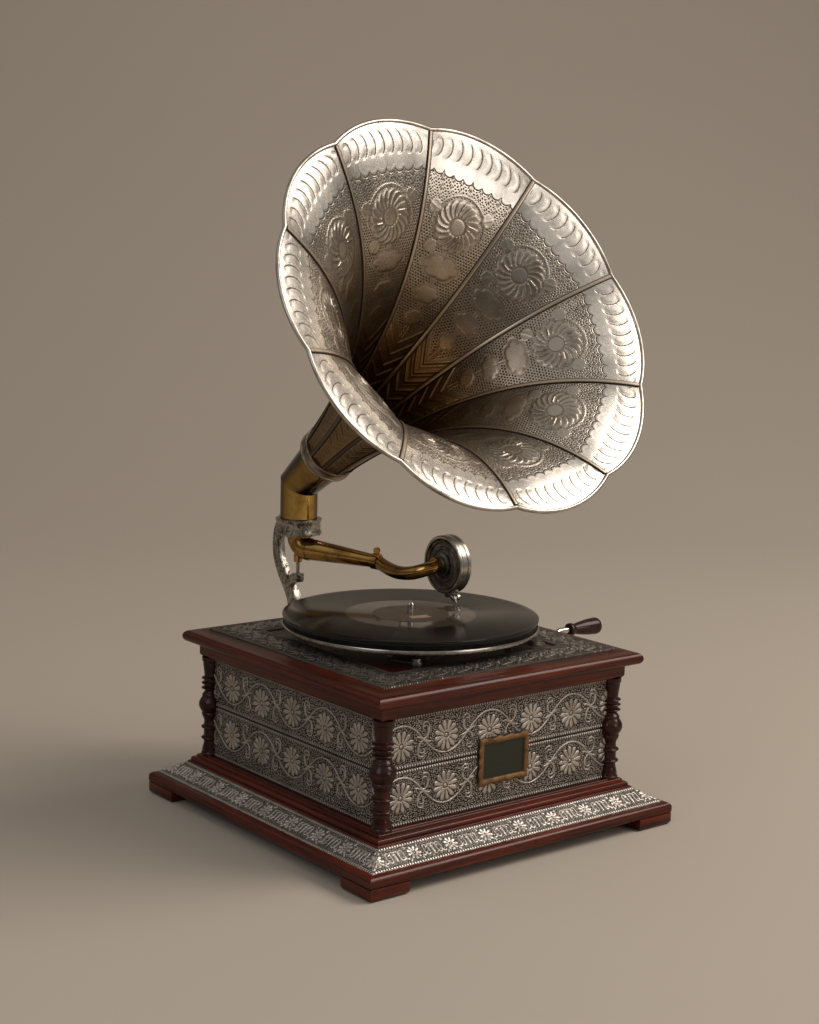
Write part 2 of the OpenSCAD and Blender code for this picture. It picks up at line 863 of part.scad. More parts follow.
// Crank arm: a bright rod that bends into the grip's axle
module crank_arm() {
    hub_r = 8;
    reach = crank_arm_l - rod_bend;
    color("#b5b2aa")
        translate([crank_x, crank_y, crank_z])
            rotate([-crank_lean, 0, 0])
                union() {
                    difference() {
                        translate([-8, 0, 0]) rotate([0, 90, 0]) cylinder(r = hub_r, h = 14);
                        translate([-9, 0, 0]) rotate([0, 90, 0]) cylinder(r = crank_r + fit, h = 9 + fit);
                    }
                    translate([0, 0, hub_r - 2]) cylinder(r = rod_r, h = reach - hub_r + 2);
                    translate([rod_bend, 0, reach])
                        rotate([90, 0, 0])
                            rotate([0, 0, 90])
                                rotate_extrude(angle = 90) translate([rod_bend, 0]) circle(rod_r);
                    translate([rod_bend, 0, crank_arm_l])
                        rotate([0, 90, 0]) cylinder(r = rod_r, h = grip_x - crank_x - rod_bend + 0.01);
                    translate([grip_x - crank_x, 0, crank_arm_l])
                        rotate([0, 90, 0]) cylinder(r = rod_r - 0.5, h = grip_l - 8);
                }
}

// Turned grip on its axle
module crank_grip() {
    l = grip_l;
    body = [for (i = [0:16]) let (t = i / 16) [5.2 + (grip_r - 5.2) * sqrt(sin(90 * t) * (2 - t) * t), 7 + (l - 13) * t]];
    cap = [for (a = [15:15:90]) [grip_r * cos(a), l - 6 + 6 * sin(a)]];
    color("#3a1610")
        translate([0, grip_y, crank_z + crank_arm_l * cos(crank_lean)])
            rotate([0, 90, 0])
                translate([0, 0, grip_x + gap])
                    difference() {
                        rotate_extrude() polygon(concat([[0, 0], [6.6, 0], [7, 1], [7, 4], [6, 5.4]], body, cap));
                        translate([0, 0, -over]) cylinder(r = rod_r - 0.5 + fit, h = l - 8 + gap + over);
                    }
}

// Brake and speed lever on the motor board

deck_z = z_board;

// Flat brake lever on its post, with a round slotted thumb disc at the platter's edge
brake_out = brake_pos / norm(brake_pos);
brake_side = [-brake_out[1], brake_out[0]];
brake_thumb = brake_pos + 25.7 * [cos(-36.5), sin(-36.5)];
brake_pad_pos = brake_pos + 14 * brake_out + 22 * brake_side;
lever_t = 1.8;

module lever_bar(from, to, w0, w1) {
    way = (to - from) / norm(to - from);
    side = [-way[1], way[0]];
    polygon([from + w0 * side, to + w1 * side, to - w1 * side, from - w0 * side]);
}

module brake_lever() {
    thumb_r = 9;
    slot = 1.4;
    color("#a9a59b")
        difference() {
            union() {
                translate([0, 0, deck_z + 3])
                    linear_extrude(lever_t) {
                        translate(brake_pos) circle(6);
                        translate(brake_thumb) circle(thumb_r);
                        lever_bar(brake_pos, brake_thumb, 4, 3.4);
                        lever_bar(brake_pos, brake_pad_pos, 4, 3);
                        translate(brake_pad_pos) circle(4);
                    }
                translate([brake_pos[0], brake_pos[1], z_top + 2]) cylinder(r = 2.5, h = deck_z + 3 - z_top - 2 + 0.5);
                translate([brake_pos[0], brake_pos[1], deck_z + gap]) cylinder(r = 4.5, h = 3);
                translate([brake_thumb[0], brake_thumb[1], deck_z + 4.5]) cylinder(r = 6, h = 2.4);
            }
            translate([brake_thumb[0], brake_thumb[1], deck_z + 6])
                rotate([0, 0, 25]) translate([-thumb_r, -slot / 2, 0]) cube([2 * thumb_r, slot, 4]);
        }
}

// Leather block that stands on the lever inside the platter's rim
module brake_pad() {
    foot = deck_z + 3 + lever_t;
    color("#6b4a2c")
        translate([brake_pad_pos[0], brake_pad_pos[1], foot]) cylinder(r = 3.6, h = rim_z + 4 - foot);
}

// Speed lever: a knob and pointer on the board, an arm to the governor's disc below it
module speed_lever() {
    arm_low = gov_top + 0.6;
    reach = governor_pos - speed_pos;
    far = norm(reach);
    aim = atan2(reach[1], reach[0]);
    side = disc_r + 4;
    swing = asin(side / far);
    arm_to = sqrt(far * far - side * side);
    color("#a9a59b")
        union() {
            translate([speed_pos[0], speed_pos[1], arm_low]) cylinder(r = 2.5, h = deck_z + 5 - arm_low);
            translate([speed_pos[0], speed_pos[1], deck_z + gap]) cylinder(r = 6, h = 3.7);
            translate([speed_pos[0], speed_pos[1], deck_z + 4]) cylinder(r = 4.5, h = 3.2);
            translate([speed_pos[0], speed_pos[1], deck_z + 2])
                rotate([0, 0, 118]) translate([5, 0, 0]) rotate([0, 90, 0]) cylinder(r = 1.2, h = 24);
            translate([speed_pos[0], speed_pos[1], arm_low])
                rotate([0, 0, aim + swing]) {
                    translate([0, -3, 0]) cube([arm_to, 6, 1.6]);
                    cylinder(r = 5, h = 4);
                    translate([arm_to, 0, -1]) cylinder(r = 3.7, h = 3.6);
                }
        }
}

// Back bracket with the collar that carries the horn and the tone arm

foot_plate_w = 44;
foot_plate_z = 66;
foot_plate_h = 68;
foot_plate_t = 5;
bracket_t = 9;
lug_z = 200;
lug_h = 8;
pin_r = 2;
neck_outer = 14;
spigot_r = 18;
screw_pos = [for (x = [-15, 15], z = [foot_plate_z + 9, foot_plate_z + foot_plate_h - 9]) [x, z]];

module bracket_holes() {
    for (p = screw_pos)
        translate([p[0], wall_in_x - over, p[1]])
            rotate([-90, 0, 0]) cylinder(r = 2.2 + fit, h = wall_t + 20);
}

// Curve through four control points
function bezier(p, t) =
    pow(1 - t, 3) * p[0] + 3 * pow(1 - t, 2) * t * p[1] + 3 * (1 - t) * t * t * p[2] + t * t * t * p[3];
function bezier_way(p, t) =
    let (d = 3 * pow(1 - t, 2) * (p[1] - p[0]) + 6 * (1 - t) * t * (p[2] - p[1]) + 3 * t * t * (p[3] - p[2]))
    d / norm(d);

// Strip of changing width along a curve
module ribbon(p, w0, w1, steps) {
    function edge(i, side) =
        let (t = i / steps, d = bezier_way(p, t)) bezier(p, t) + side * (w0 + (w1 - w0) * t) / 2 * [-d[1], d[0]];
    polygon(concat([for (i = [0:steps]) edge(i, 1)], [for (i = [steps:-1:0]) edge(i, -1)]));
}

module bracket_outline() {
    back_y = sheet_x + foot_plate_t;
    root_w = foot_plate_h / 2;
    knee_w = 1.7 * bracket_t;
    top_w = 1.1 * bracket_t;
    root_z = foot_plate_z + 0.44 * foot_plate_h;
    knee = [pivot_y + 4, lug_z - 30];
    bow = [pivot_y + collar_r + 13.5, collar_z - 12];
    ribbon([[back_y - 1, root_z], [back_y + 30, root_z + 4], [pivot_y + 2, knee[1] - 44], knee], root_w, knee_w, 16);
    ribbon([knee, knee + [2, 26], bow + [3, -34], bow], knee_w, top_w, 16);
    ribbon([bow, bow + [-1, 10], bow + [-3, 18], [pivot_y + collar_r + 2.5, collar_z + 10]], top_w, top_w - 0.6, 8);
    translate([pivot_y + collar_r - 3, collar_z]) square([10, collar_h]);
    polygon([[pivot_y, lug_z], [pivot_y + 16, lug_z - 8], [pivot_y + 24, lug_z + 2], [pivot_y, lug_z + lug_h]]);
}

module back_bracket() {
    color("#8b8a84")
        difference() {
            union() {
                translate([bracket_t / 2, 0, 0]) rotate([90, 0, -90]) mirror([1, 0]) linear_extrude(bracket_t) bracket_outline();
                translate([-foot_plate_w / 2, sheet_x, foot_plate_z])
                    cube([foot_plate_w, foot_plate_t, foot_plate_h]);
                translate([0, pivot_y, collar_z]) cylinder(r = collar_r, h = collar_h);
                for (z = [collar_z, collar_z + collar_h - 3])
                    translate([0, pivot_y, z]) cylinder(r = collar_r + 1.2, h = 3);
                translate([0, pivot_y, lug_z]) cylinder(r = 6.5, h = lug_h);
            }
            translate([0, pivot_y, collar_z - over]) cylinder(r = neck_outer + fit, h = collar_h + 2 * over);
            translate([0, pivot_y, collar_z + 7]) cylinder(r = spigot_r + fit, h = collar_h);
            translate([0, pivot_y, lug_z + 1]) cylinder(r = pin_r + fit, h = lug_h);
            bracket_holes();
        }
}

module bracket_screws() {
    color("#b9b4a4")
        for (p = screw_pos)
            translate([p[0], 0, p[1]])
                rotate([-90, 0, 0]) {
                    translate([0, 0, wall_in_x + 1]) cylinder(r = 2.2, h = sheet_x + foot_plate_t - wall_in_x - 1);
                    translate([0, 0, sheet_x + foot_plate_t])
                        difference() {
                            cylinder(r1 = 4.2, r2 = 3, h = 2.2);
                            translate([-5, -0.5, 1.2]) cube([10, 1, 2]);
                        }
                }
}

pin_top = arm_z - 10.7;

// Pin that the tone arm turns on, in the bracket's lug
module pivot_pin() {
    color("#c9c9c6")
        translate([0, pivot_y, lug_z + 1]) cylinder(r = pin_r, h = pin_top - lug_z - 1);
}

// Horn

// Moves a child from the horn's own frame, axis along Z from the mitre, to its place
module horn_place() {
    translate([0, pivot_y, mitre_z]) rotate([0, 90 - horn_rise, -90 - horn_heading]) children();
}

ring_from = 60;
ring_to = 74;
horn_curve = [[ring_to + 0.55, tail_r], [ring_to + 150, tail_r + 26], [horn_len - 38, 112], [horn_len, mouth_r]];
seam_turn = -6.8;
seam_steps = 22;
petal_steps = 8;

// Steps along the curve, closer together towards the rim
function share(i) = let (t = i / seam_steps) t * (1.25 - 0.25 * t);
// Point of the horn's wall: steps along, angle, place across a petal from -1 to 1, and depth in the wall
function horn_radius(i, across) =
    bezier(horn_curve, share(i))[1] + lobe * (1 - across * across) * pow(i / seam_steps, 4);
function horn_along(i, r, angle) =
    bezier(horn_curve, share(i))[0] - tan(mouth_tilt) * r * r / mouth_r * cos(angle);
function horn_way(i) = bezier_way(horn_curve, share(i));

// Seams: folded welts that stand between the petals, one flat strip each
module horn_seams() {
    inward = 1.6;
    outward = petal_t + 0.6;
    color("#6f665a")
        horn_place()
            for (k = [0:petals - 1])
                let (angle = seam_turn + 360 / petals * k)
                    rotate([0, 0, angle])
                        rotate([90, 0, 0])
                            linear_extrude(seam_w, center = true)
                                polygon(concat(
                                    [for (i = [0:seam_steps]) seam_point(i, angle, -inward)],
                                    [for (i = [seam_steps:-1:0]) seam_point(i, angle, outward)]
                                ));
}

function seam_point(i, angle, depth) =
    let (r = horn_radius(i, 1), d = horn_way(i))
    [r + depth * d[0], horn_along(i, r, angle) - depth * d[1]];

// One petal as a closed shell between two seams
module petal(k) {
    mid = seam_turn + 360 / petals * (k + 0.5);
    half = 180 / petals;
    function spot(i, j, depth) =
        let (
            across = -1 + 2 * j / petal_steps,
            base_r = horn_radius(i, across),
            d = horn_way(i),
            r = base_r + depth * d[0],
            trim = asin((seam_w / 2 + 0.02) / r),
            angle = mid + across * (half - trim),
            z = horn_along(i, base_r, mid + across * half) - depth * d[1]
        )
        [r * cos(angle), r * sin(angle), z];
    n = petal_steps + 1;
    m = seam_steps + 1;
    points = concat(
        [for (i = [0:seam_steps], j = [0:petal_steps]) spot(i, j, 0)],
        [for (i = [0:seam_steps], j = [0:petal_steps]) spot(i, j, petal_t)]
    );
    back = n * m;
    function at(i, j, side) = (1 - side) * back + i * n + j;
    faces = concat(
        [for (i = [0:seam_steps - 1], j = [0:petal_steps - 1]) [at(i, j, 0), at(i + 1, j, 0), at(i, j + 1, 0)]],
        [for (i = [0:seam_steps - 1], j = [0:petal_steps - 1]) [at(i + 1, j, 0), at(i + 1, j + 1, 0), at(i, j + 1, 0)]],
        [for (i = [0:seam_steps - 1], j = [0:petal_steps - 1]) [at(i, j, 1), at(i, j + 1, 1), at(i + 1, j, 1)]],
        [for (i = [0:seam_steps - 1], j = [0:petal_steps - 1]) [at(i + 1, j, 1), at(i, j + 1, 1), at(i + 1, j + 1, 1)]],
        [for (j = [0:petal_steps - 1]) [at(0, j, 0), at(0, j + 1, 0), at(0, j + 1, 1), at(0, j, 1)]],
        [for (j = [0:petal_steps - 1]) [at(seam_steps, j, 0), at(seam_steps, j, 1), at(seam_steps, j + 1, 1), at(seam_steps, j + 1, 0)]],
        [for (i = [0:seam_steps - 1]) [at(i, 0, 0), at(i, 0, 1), at(i + 1, 0, 1), at(i + 1, 0, 0)]],
        [for (i = [0:seam_steps - 1]) [at(i, petal_steps, 0), at(i + 1, petal_steps, 0), at(i + 1, petal_steps, 1), at(i, petal_steps, 1)]]
    );
    polyhedron(points, faces);
}

module horn_petals() {
    color("#b5b1a6") horn_place() for (k = [0:petals - 1]) petal(k);
}

// Wire that the rim is rolled round, just past the petals' edge
module horn_rim_wire() {
    sides = 8;
    per_petal = 12;
    total = petals * per_petal;
    d = horn_way(seam_steps);
    step_out = wire_r + 0.2;
    function centre(n) =
        let (
            across = -1 + 2 * (n % per_petal) / per_petal,
            angle = seam_turn + 360 * n / total,
            r = horn_radius(seam_steps, across)
        )
        [r + step_out * d[1] + petal_t / 2 * d[0], horn_along(seam_steps, r, angle) + step_out * d[0] - petal_t / 2 * d[1], angle];
    function spot(n, s) =
        let (c = centre(n), b = 360 * (s + 0.5) / sides, r = c[0] + wire_r * cos(b))
        [r * cos(c[2]), r * sin(c[2]), c[1] + wire_r * sin(b)];
    points = [for (n = [0:total - 1], s = [0:sides - 1]) spot(n, s)];
    function at(n, s) = (n % total) * sides + s % sides;
    faces = concat(
        [for (n = [0:total - 1], s = [0:sides - 1]) [at(n, s), at(n, s + 1), at(n + 1, s)]],
        [for (n = [0:total - 1], s = [0:sides - 1]) [at(n + 1, s), at(n, s + 1), at(n + 1, s + 1)]]
    );
    color("#b5b1a6") horn_place() polyhedron(points, faces);
}

cone_end_r = 26.2;

// Brass elbow: an upright pipe mitred to a widening pipe that leads to the horn
module horn_elbow() {
    far = 120;
    bend = 90 - horn_rise;
    // Everything above the mitre plane, or below it
    module above() {
        rotate([0, bend / 2, -90 - horn_heading])
            translate([-far, -far, 0]) cube(2 * far);
    }
    module upright(r) {
        translate([0, 0, collar_z - mitre_z]) cylinder(r = r, h = mitre_z - collar_z + far / 2);
    }
    module slanted(extra) {
        rotate([0, bend, -90 - horn_heading])
            translate([0, 0, -far / 3])
                cylinder(r1 = pipe_r + 1 - extra - 4, r2 = cone_end_r - extra, h = far / 3 + ring_from + 2);
    }
    module solid(extra) {
        difference() {
            upright(pipe_r - extra);
            above();
        }
        intersection() {
            slanted(extra);
            above();
        }
    }
    color("#9a7c3c")
        translate([0, pivot_y, mitre_z])
            difference() {
                solid(0);
                solid(pipe_t);
                translate([0, 0, collar_z - mitre_z - over])
                    difference() {
                        cylinder(r = pipe_r + over, h = collar_h + gap + over);
                        cylinder(r = spigot_r, h = collar_h + gap + 2 * over);
                    }
                translate([0, 0, collar_z - mitre_z - over]) cylinder(r = pipe_r + over, h = 7 + gap + over);
                translate([0, 0, collar_z - mitre_z]) cylinder(r = spigot_r - 2, h = collar_h + 3);
            }
}

// Silver band between the brass elbow and the petals, rolled at both edges
module horn_tail_ring() {
    in_r = cone_end_r + 0.4;
    out_r = tail_r + petal_t + 0.6;
    color("#a39d92")
        horn_place()
            translate([0, 0, ring_from])
                rotate_extrude()
                    union() {
                        translate([in_r, 0]) square([out_r - in_r, ring_to - ring_from]);
                        translate([out_r - 0.4, 1.3]) circle(1.3);
                        translate([out_r - 0.4, ring_to - ring_from - 1.3]) circle(1.3);
                    }
}

// Tone arm

arm_bend = 14;

// Moves a child into the tone arm's frame: origin on its axis at the floor, X along the arm
module arm_place() {
    translate([0, pivot_y, 0]) rotate([0, 0, -90 + arm_turn]) children();
}

// Tube of the arm from its swivel neck down through the bend and out along the taper
module tone_arm() {
    wall = 1.6;
    bend_z = arm_z + arm_bend;
    sweep = 90 - arm_dip;
    straight = (arm_len - arm_bend) / cos(arm_dip);
    neck_h = collar_z + 7 - gap - bend_z;
    ferrule = 0.4;
    module bend(r) {
        translate([arm_bend, 0, bend_z])
            rotate([90, 0, 0])
                rotate([0, 0, 180]) rotate_extrude(angle = sweep) translate([arm_bend, 0]) circle(r);
    }
    module along(from) {
        translate([arm_bend - arm_bend * sin(arm_dip), 0, bend_z - arm_bend * cos(arm_dip)])
            rotate([0, 90 + arm_dip, 0]) translate([0, 0, from]) children();
    }
    color("#96733a")
        arm_place()
            difference() {
                union() {
                    bend(arm_r);
                    translate([0, 0, bend_z - 1.5]) cylinder(r = neck_outer, h = neck_h + 1.5);
                    along(0) cylinder(r1 = arm_r - 0.2, r2 = arm_end_r, h = straight);
                    along(-2) cylinder(r = arm_r + ferrule, h = 4);
                    translate([0, 0, pin_top - 4.5]) cylinder(r = 4.5, h = 9);
                }
                translate([0, 0, bend_z - 0.5]) cylinder(r = arm_r - wall + 0.3, h = neck_h + over);
                bend(arm_r - wall);
                along(-0.5) cylinder(r1 = arm_r - wall - 0.3, r2 = arm_end_r - wall, h = straight + over);
                translate([0, 0, pin_top - 6]) cylinder(r = pin_r + fit, h = 6 + gap);
            }
}

// Gooseneck and sound box

arm_slope = tan(arm_dip);
joint_x = arm_len + 0.3;
joint_z = arm_z - arm_slope * (arm_len - arm_bend);
joint_pos = [joint_x * sin(arm_turn), pivot_y - joint_x * cos(arm_turn), joint_z];
soundbox_pos = [58, 23, 240];
boss_l = 8;

// Route of the gooseneck: from the arm's end round to the back of the sound box
neck_from = joint_pos + 6 * [sin(arm_turn), -cos(arm_turn), -arm_slope];
neck_to = soundbox_pos - [boss_l, 0, 0];
neck_route = [
    neck_from,
    neck_from + 34 * [sin(arm_turn) - 0.35, -cos(arm_turn), -arm_slope - 0.25],
    neck_to - [30, -6, 10],
    neck_to - [1, 0, 0.4]
];

// Round tube along a curve, with its end faces square to the curve
module curved_tube(p, r, steps, sides) {
    up = [0, 0, 1];
    function ring(i) =
        let (t = i / steps, c = bezier(p, t), d = bezier_way(p, t), u = cross(up, d) / norm(cross(up, d)), v = cross(d, u))
        [for (s = [0:sides - 1]) c + r * (cos(360 * s / sides) * u + sin(360 * s / sides) * v)];
    points = [for (i = [0:steps]) each ring(i)];
    function at(i, s) = i * sides + s % sides;
    faces = concat(
        [[for (s = [0:sides - 1]) at(0, s)]],
        [for (i = [0:steps - 1], s = [0:sides - 1]) [at(i, s), at(i + 1, s + 1), at(i, s + 1)]],
        [for (i = [0:steps - 1], s = [0:sides - 1]) [at(i, s), at(i + 1, s), at(i + 1, s + 1)]],
        [[for (s = [sides - 1:-1:0]) at(steps, s)]]
    );
    polyhedron(points, faces);
}

module gooseneck() {
    bore_r = arm_end_r - 1.6;
    end_bore = bore_r + 0.25;
    color("#96733a")
        difference() {
            union() {
                curved_tube(neck_route, arm_end_r, 20, 16);
                translate(joint_pos)
                    rotate([0, 90 + arm_dip, -90 + arm_turn]) {
                        cylinder(r = arm_end_r + 1.6, h = 7);
                        translate([-arm_end_r - 4.4, 0, 3.5]) rotate([90, 0, 0]) cylinder(r = 3.6, h = 2.4, center = true);
                    }
                translate(neck_to - [3, 0, 0]) rotate([0, 90, 0]) cylinder(r = arm_end_r + 1, h = 5);
            }
            curved_tube(neck_route, bore_r, 20, 16);
            translate(joint_pos)
                rotate([0, 90 + arm_dip, -90 + arm_turn]) translate([0, 0, -over]) cylinder(r = end_bore, h = 6.7 + over);
            translate(neck_to - [1.7, 0, 0]) rotate([0, 90, 0]) cylinder(r = end_bore, h = 5);
        }
}

module soundbox_place() {
    translate(soundbox_pos) rotate([0, 90, 0]) children();
}

// Back shell of the sound box with its neck
module soundbox_case() {
    color("#8f8c84")
        soundbox_place()
            rotate_extrude() polygon([
                [4.5, 2], [4.5, -boss_l + 2.2], [9, -boss_l + 2.2], [9, -3], [13, 0], [soundbox_r - 2, 0],
                [soundbox_r, 2], [soundbox_r, 9], [soundbox_r - 1, 9.8], [soundbox_r - 3, 9.8],
                [soundbox_r - 3, 2]
            ]);
}

// Front ring that clamps the diaphragm
module soundbox_bezel() {
    in_r = soundbox_r - 6;
    color("#b9b6ae")
        soundbox_place()
            rotate_extrude() polygon([
                [soundbox_r - 3, 9.8], [soundbox_r - 1, 9.8], [soundbox_r, 10.6], [soundbox_r, 13.6],
                [soundbox_r - 1.4, soundbox_t], [in_r + 1, soundbox_t], [in_r, 13.4], [in_r, 9.6],
                [soundbox_r - 3.2, 9.6]
            ]);
}

module diaphragm() {
    color("#c4c0b4") soundbox_place() translate([0, 0, 8.6]) cylinder(r = soundbox_r - 3.3, h = 0.9);
}

// Stylus bar: from the diaphragm's centre over the bezel to the needle socket
needle_tip = [69, 10, record_z + 0.25];
needle_way = [-3, 7.5, 9.35] / norm([3, 7.5, 9.35]);
socket_r = 2.6;
needle_r = 0.9;
thumb_rod_r = 1.2;
screw_at = needle_tip + 8 * needle_way;

// Child on the needle's line, from its tip upwards
module on_needle() {
    translate(needle_tip)
        rotate([0, acos(needle_way[2]), atan2(needle_way[1], needle_way[0])]) children();
}

module needle_bar() {
    front = soundbox_pos[0] + soundbox_t + 0.4;
    low = soundbox_pos[2] - soundbox_r - 4.2;
    link_y = 15.5;
    color("#9c9a94")
        difference() {
            union() {
                translate([front, soundbox_pos[1] - 1.5, low])
                    cube([2, 3, soundbox_pos[2] + 2 - low]);
                translate([soundbox_pos[0] + 9.6, soundbox_pos[1], soundbox_pos[2]])
                    rotate([0, 90, 0]) cylinder(r = 1.2, h = soundbox_t - 7.4);
                translate([soundbox_pos[0] + 6, soundbox_pos[1] - 4, low]) cube([soundbox_t - 5.2, 6, 4]);
                translate([soundbox_pos[0] + 6.6, link_y, low + 0.2]) cube([4.6, soundbox_pos[1] - 3 - link_y, 3.4]);
                on_needle() translate([0, 0, 4.2]) cylinder(r = socket_r, h = 7);
            }
            on_needle() cylinder(r = needle_r + fit, h = 10.5);
            translate(screw_at) rotate([0, 90, 0]) cylinder(r = thumb_rod_r + fit, h = 6);
        }
}

module needle() {
    color("#d4d4d2")
        on_needle() {
            cylinder(r1 = 0.15, r2 = needle_r, h = 3);
            translate([0, 0, 3]) cylinder(r = needle_r, h = 7.4);
        }
}

// Thumb screw that clamps the needle
module needle_screw() {
    color("#d8d6d0")
        translate(screw_at + [needle_r + 0.4, 0, 0])
            rotate([0, 90, 0]) {
                cylinder(r = thumb_rod_r, h = 4);
                translate([0, 0, 3]) cylinder(r = 3, h = 4);
            }
}

base_board();
feet();
base_cladding();
step_moulding();
front_wall();
back_wall();
left_wall();
right_wall();
corner_posts();
front_cladding();
back_cladding();
left_cladding();
right_cladding();
corner_columns();
frieze_moulding();
top_board();
top_cladding();
motor_board();
front_plate();
crank_escutcheon();
motor_top_plate();
motor_bottom_plate();
motor_pillars();
motor_bolts();
back_bracket();
bracket_screws();
pivot_pin();
spindle();
governor_wheel();
platter();
felt_mat();
record();
record_label();
spring_barrel();
mainspring();
winding_wheel();
intermediate_gear();
governor_shaft();
governor_weights();
governor_springs();
governor_disc();
crank_shaft();
crank_arm();
crank_grip();
brake_lever();
brake_pad();
speed_lever();
horn_elbow();
horn_tail_ring();
horn_petals();
horn_seams();
horn_rim_wire();
tone_arm();
gooseneck();
soundbox_case();
soundbox_bezel();
diaphragm();
needle_bar();
needle();
needle_screw();
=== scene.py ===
import json
import math

import bpy
import numpy as np
from mathutils import Matrix, Vector

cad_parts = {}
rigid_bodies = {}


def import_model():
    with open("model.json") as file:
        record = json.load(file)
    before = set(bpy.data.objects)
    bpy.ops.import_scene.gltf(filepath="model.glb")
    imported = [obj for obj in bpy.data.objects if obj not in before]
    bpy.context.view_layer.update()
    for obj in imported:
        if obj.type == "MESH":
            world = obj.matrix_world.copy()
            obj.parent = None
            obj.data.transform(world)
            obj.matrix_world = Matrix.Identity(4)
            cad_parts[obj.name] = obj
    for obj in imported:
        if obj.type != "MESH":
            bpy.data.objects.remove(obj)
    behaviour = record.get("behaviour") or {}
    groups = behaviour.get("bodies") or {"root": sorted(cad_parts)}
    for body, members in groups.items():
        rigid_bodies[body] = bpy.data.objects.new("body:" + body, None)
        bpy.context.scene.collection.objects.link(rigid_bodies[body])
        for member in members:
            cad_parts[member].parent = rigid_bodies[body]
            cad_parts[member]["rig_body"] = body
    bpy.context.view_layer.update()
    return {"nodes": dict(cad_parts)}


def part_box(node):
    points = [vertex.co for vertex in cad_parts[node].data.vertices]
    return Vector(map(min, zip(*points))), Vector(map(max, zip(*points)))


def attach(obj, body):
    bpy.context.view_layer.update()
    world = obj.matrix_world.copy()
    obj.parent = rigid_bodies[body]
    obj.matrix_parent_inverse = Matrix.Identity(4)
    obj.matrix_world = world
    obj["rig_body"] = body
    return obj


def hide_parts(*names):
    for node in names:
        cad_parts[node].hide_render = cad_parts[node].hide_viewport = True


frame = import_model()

bl_info = {
    "name": "Table Gramophone",
    "version": (1, 0, 0),
    "blender": (4, 5, 0),
    "location": "View3D > Sidebar > Gramophone",
    "description": "Builds the embossed horn, cabinet and playing parts of a table gramophone",
    "category": "Add Mesh",
}

# Lengths below are in millimetres and are turned to metres where a mesh is made
MM = 0.001


# Helpers for places and colours

def corners(node):
    """Lowest and highest corner of a CAD node, in millimetres."""
    low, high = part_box(node)
    return np.array(low) / MM, np.array(high) / MM


def srgb(code):
    """Colour of an sRGB hex code, in linear light."""
    channels = [int(code[i:i + 2], 16) / 255 for i in (1, 3, 5)]
    return tuple(c / 12.92 if c <= 0.04045 else ((c + 0.055) / 1.055) ** 2.4 for c in channels)


def opaque(colour, share=1.0):
    """Colour with full alpha, darkened to a share of its light. It is given as a colour or a hex code."""
    if isinstance(colour, str):
        colour = srgb(colour)
    return (*(c * share for c in colour[:3]), 1.0)


def ease(start, end, value):
    """Smooth step from 0 at start to 1 at end."""
    t = np.clip((value - start) / (end - start), 0, 1)
    return t * t * (3 - 2 * t)


def dome(distance, reach):
    """Rounded ridge: 1 on the line, 0 at reach."""
    return np.sqrt(np.clip(1 - (distance / reach) ** 2, 0, 1))


def ridge(distance, width):
    """Soft ridge: 1 on the line, 0.37 at width."""
    return np.exp(-(distance / width) ** 2)


def saw(value):
    """Rises from 0 to 1 between whole numbers."""
    return value - np.floor(value)


# Sizes that the horn and the cabinet share with the CAD model. Angles are in radians.

PETALS = 10
# Radius of the mouth at the seams, and how far a petal bulges past it
MOUTH_R = 195
LOBE = 7
HORN_LEN = 343.8
HORN_RISE = math.radians(34.6)
HORN_HEADING = math.radians(1.6)
MOUTH_TILT = math.radians(3.8)
SEAM_TURN = math.radians(-6.8)
SEAM_W = 3
PETAL_T = 1.2
WIRE_R = 2
# Both ends of the tail band, along the horn's axis
RING_FROM = 60
RING_TO = 74
TAIL_R = 28.3
# Start of the horn's axis
PIVOT_Y = 195
MITRE_Z = 307
# The photograph's flare lies a little inside the solids' wall, halfway along it
FLARE_PULL = 7
# Control points of the bell's outline, as height along the axis and radius
HORN_CURVE = np.array([
    (RING_TO + 0.55, TAIL_R), (RING_TO + 150, TAIL_R + 26), (HORN_LEN - 38, 112), (HORN_LEN, MOUTH_R),
])

WALL_LOW, WALL_HIGH = corners("front_cladding")
SHEET_Y = 1 - corners("front_wall")[0][1]
PANEL_HALF = SHEET_Y - 0.3
PANEL_Z = (WALL_LOW[2], WALL_HIGH[2])
SLOPE_LOW, SLOPE_HIGH = corners("base_cladding")
# How far a slope runs inwards
SLOPE_RUN = 21.8
BORDER_OUT = corners("top_cladding")[1][0]
BOARD_TOP = corners("motor_board")[1][2]
BORDER_IN = corners("motor_board")[1][0] + 0.3
RECORD_TOP = corners("record")[1][2]
CRANK_Y, CRANK_Z = sum(corners("crank_escutcheon"))[1:] / 2

# Distance from one bead of a beaded line to the next
BEAD = 2.9

# Row of crescent cuts along the horn's rim, whose arcs have their centre beside the middle of their cell
CRESCENT_PITCH = 11.4
CRESCENT_R = 9.8
CRESCENT_SHIFT = 7.0
# The row's distance from the rim, half its height, and the width of the scoop inside an arc
CRESCENT_Y = 12.4
CRESCENT_END = 9.3
CRESCENT_SCOOP = 4.5


# Materials

def set_sockets(tree, node, inputs):
    """Links sockets and numbers to a node's inputs, and sets the others to plain values."""
    for socket, value in inputs.items():
        if isinstance(value, Number):
            value = value.socket
        if isinstance(value, bpy.types.NodeSocket):
            tree.links.new(value, node.inputs[socket])
        else:
            node.inputs[socket].default_value = value


def add_node(tree, kind, inputs=None, **settings):
    """Adds a shader node with its settings and the values or links of its sockets."""
    made = tree.nodes.new(kind)
    for name, value in settings.items():
        setattr(made, name, value)
    set_sockets(tree, made, inputs or {})
    return made


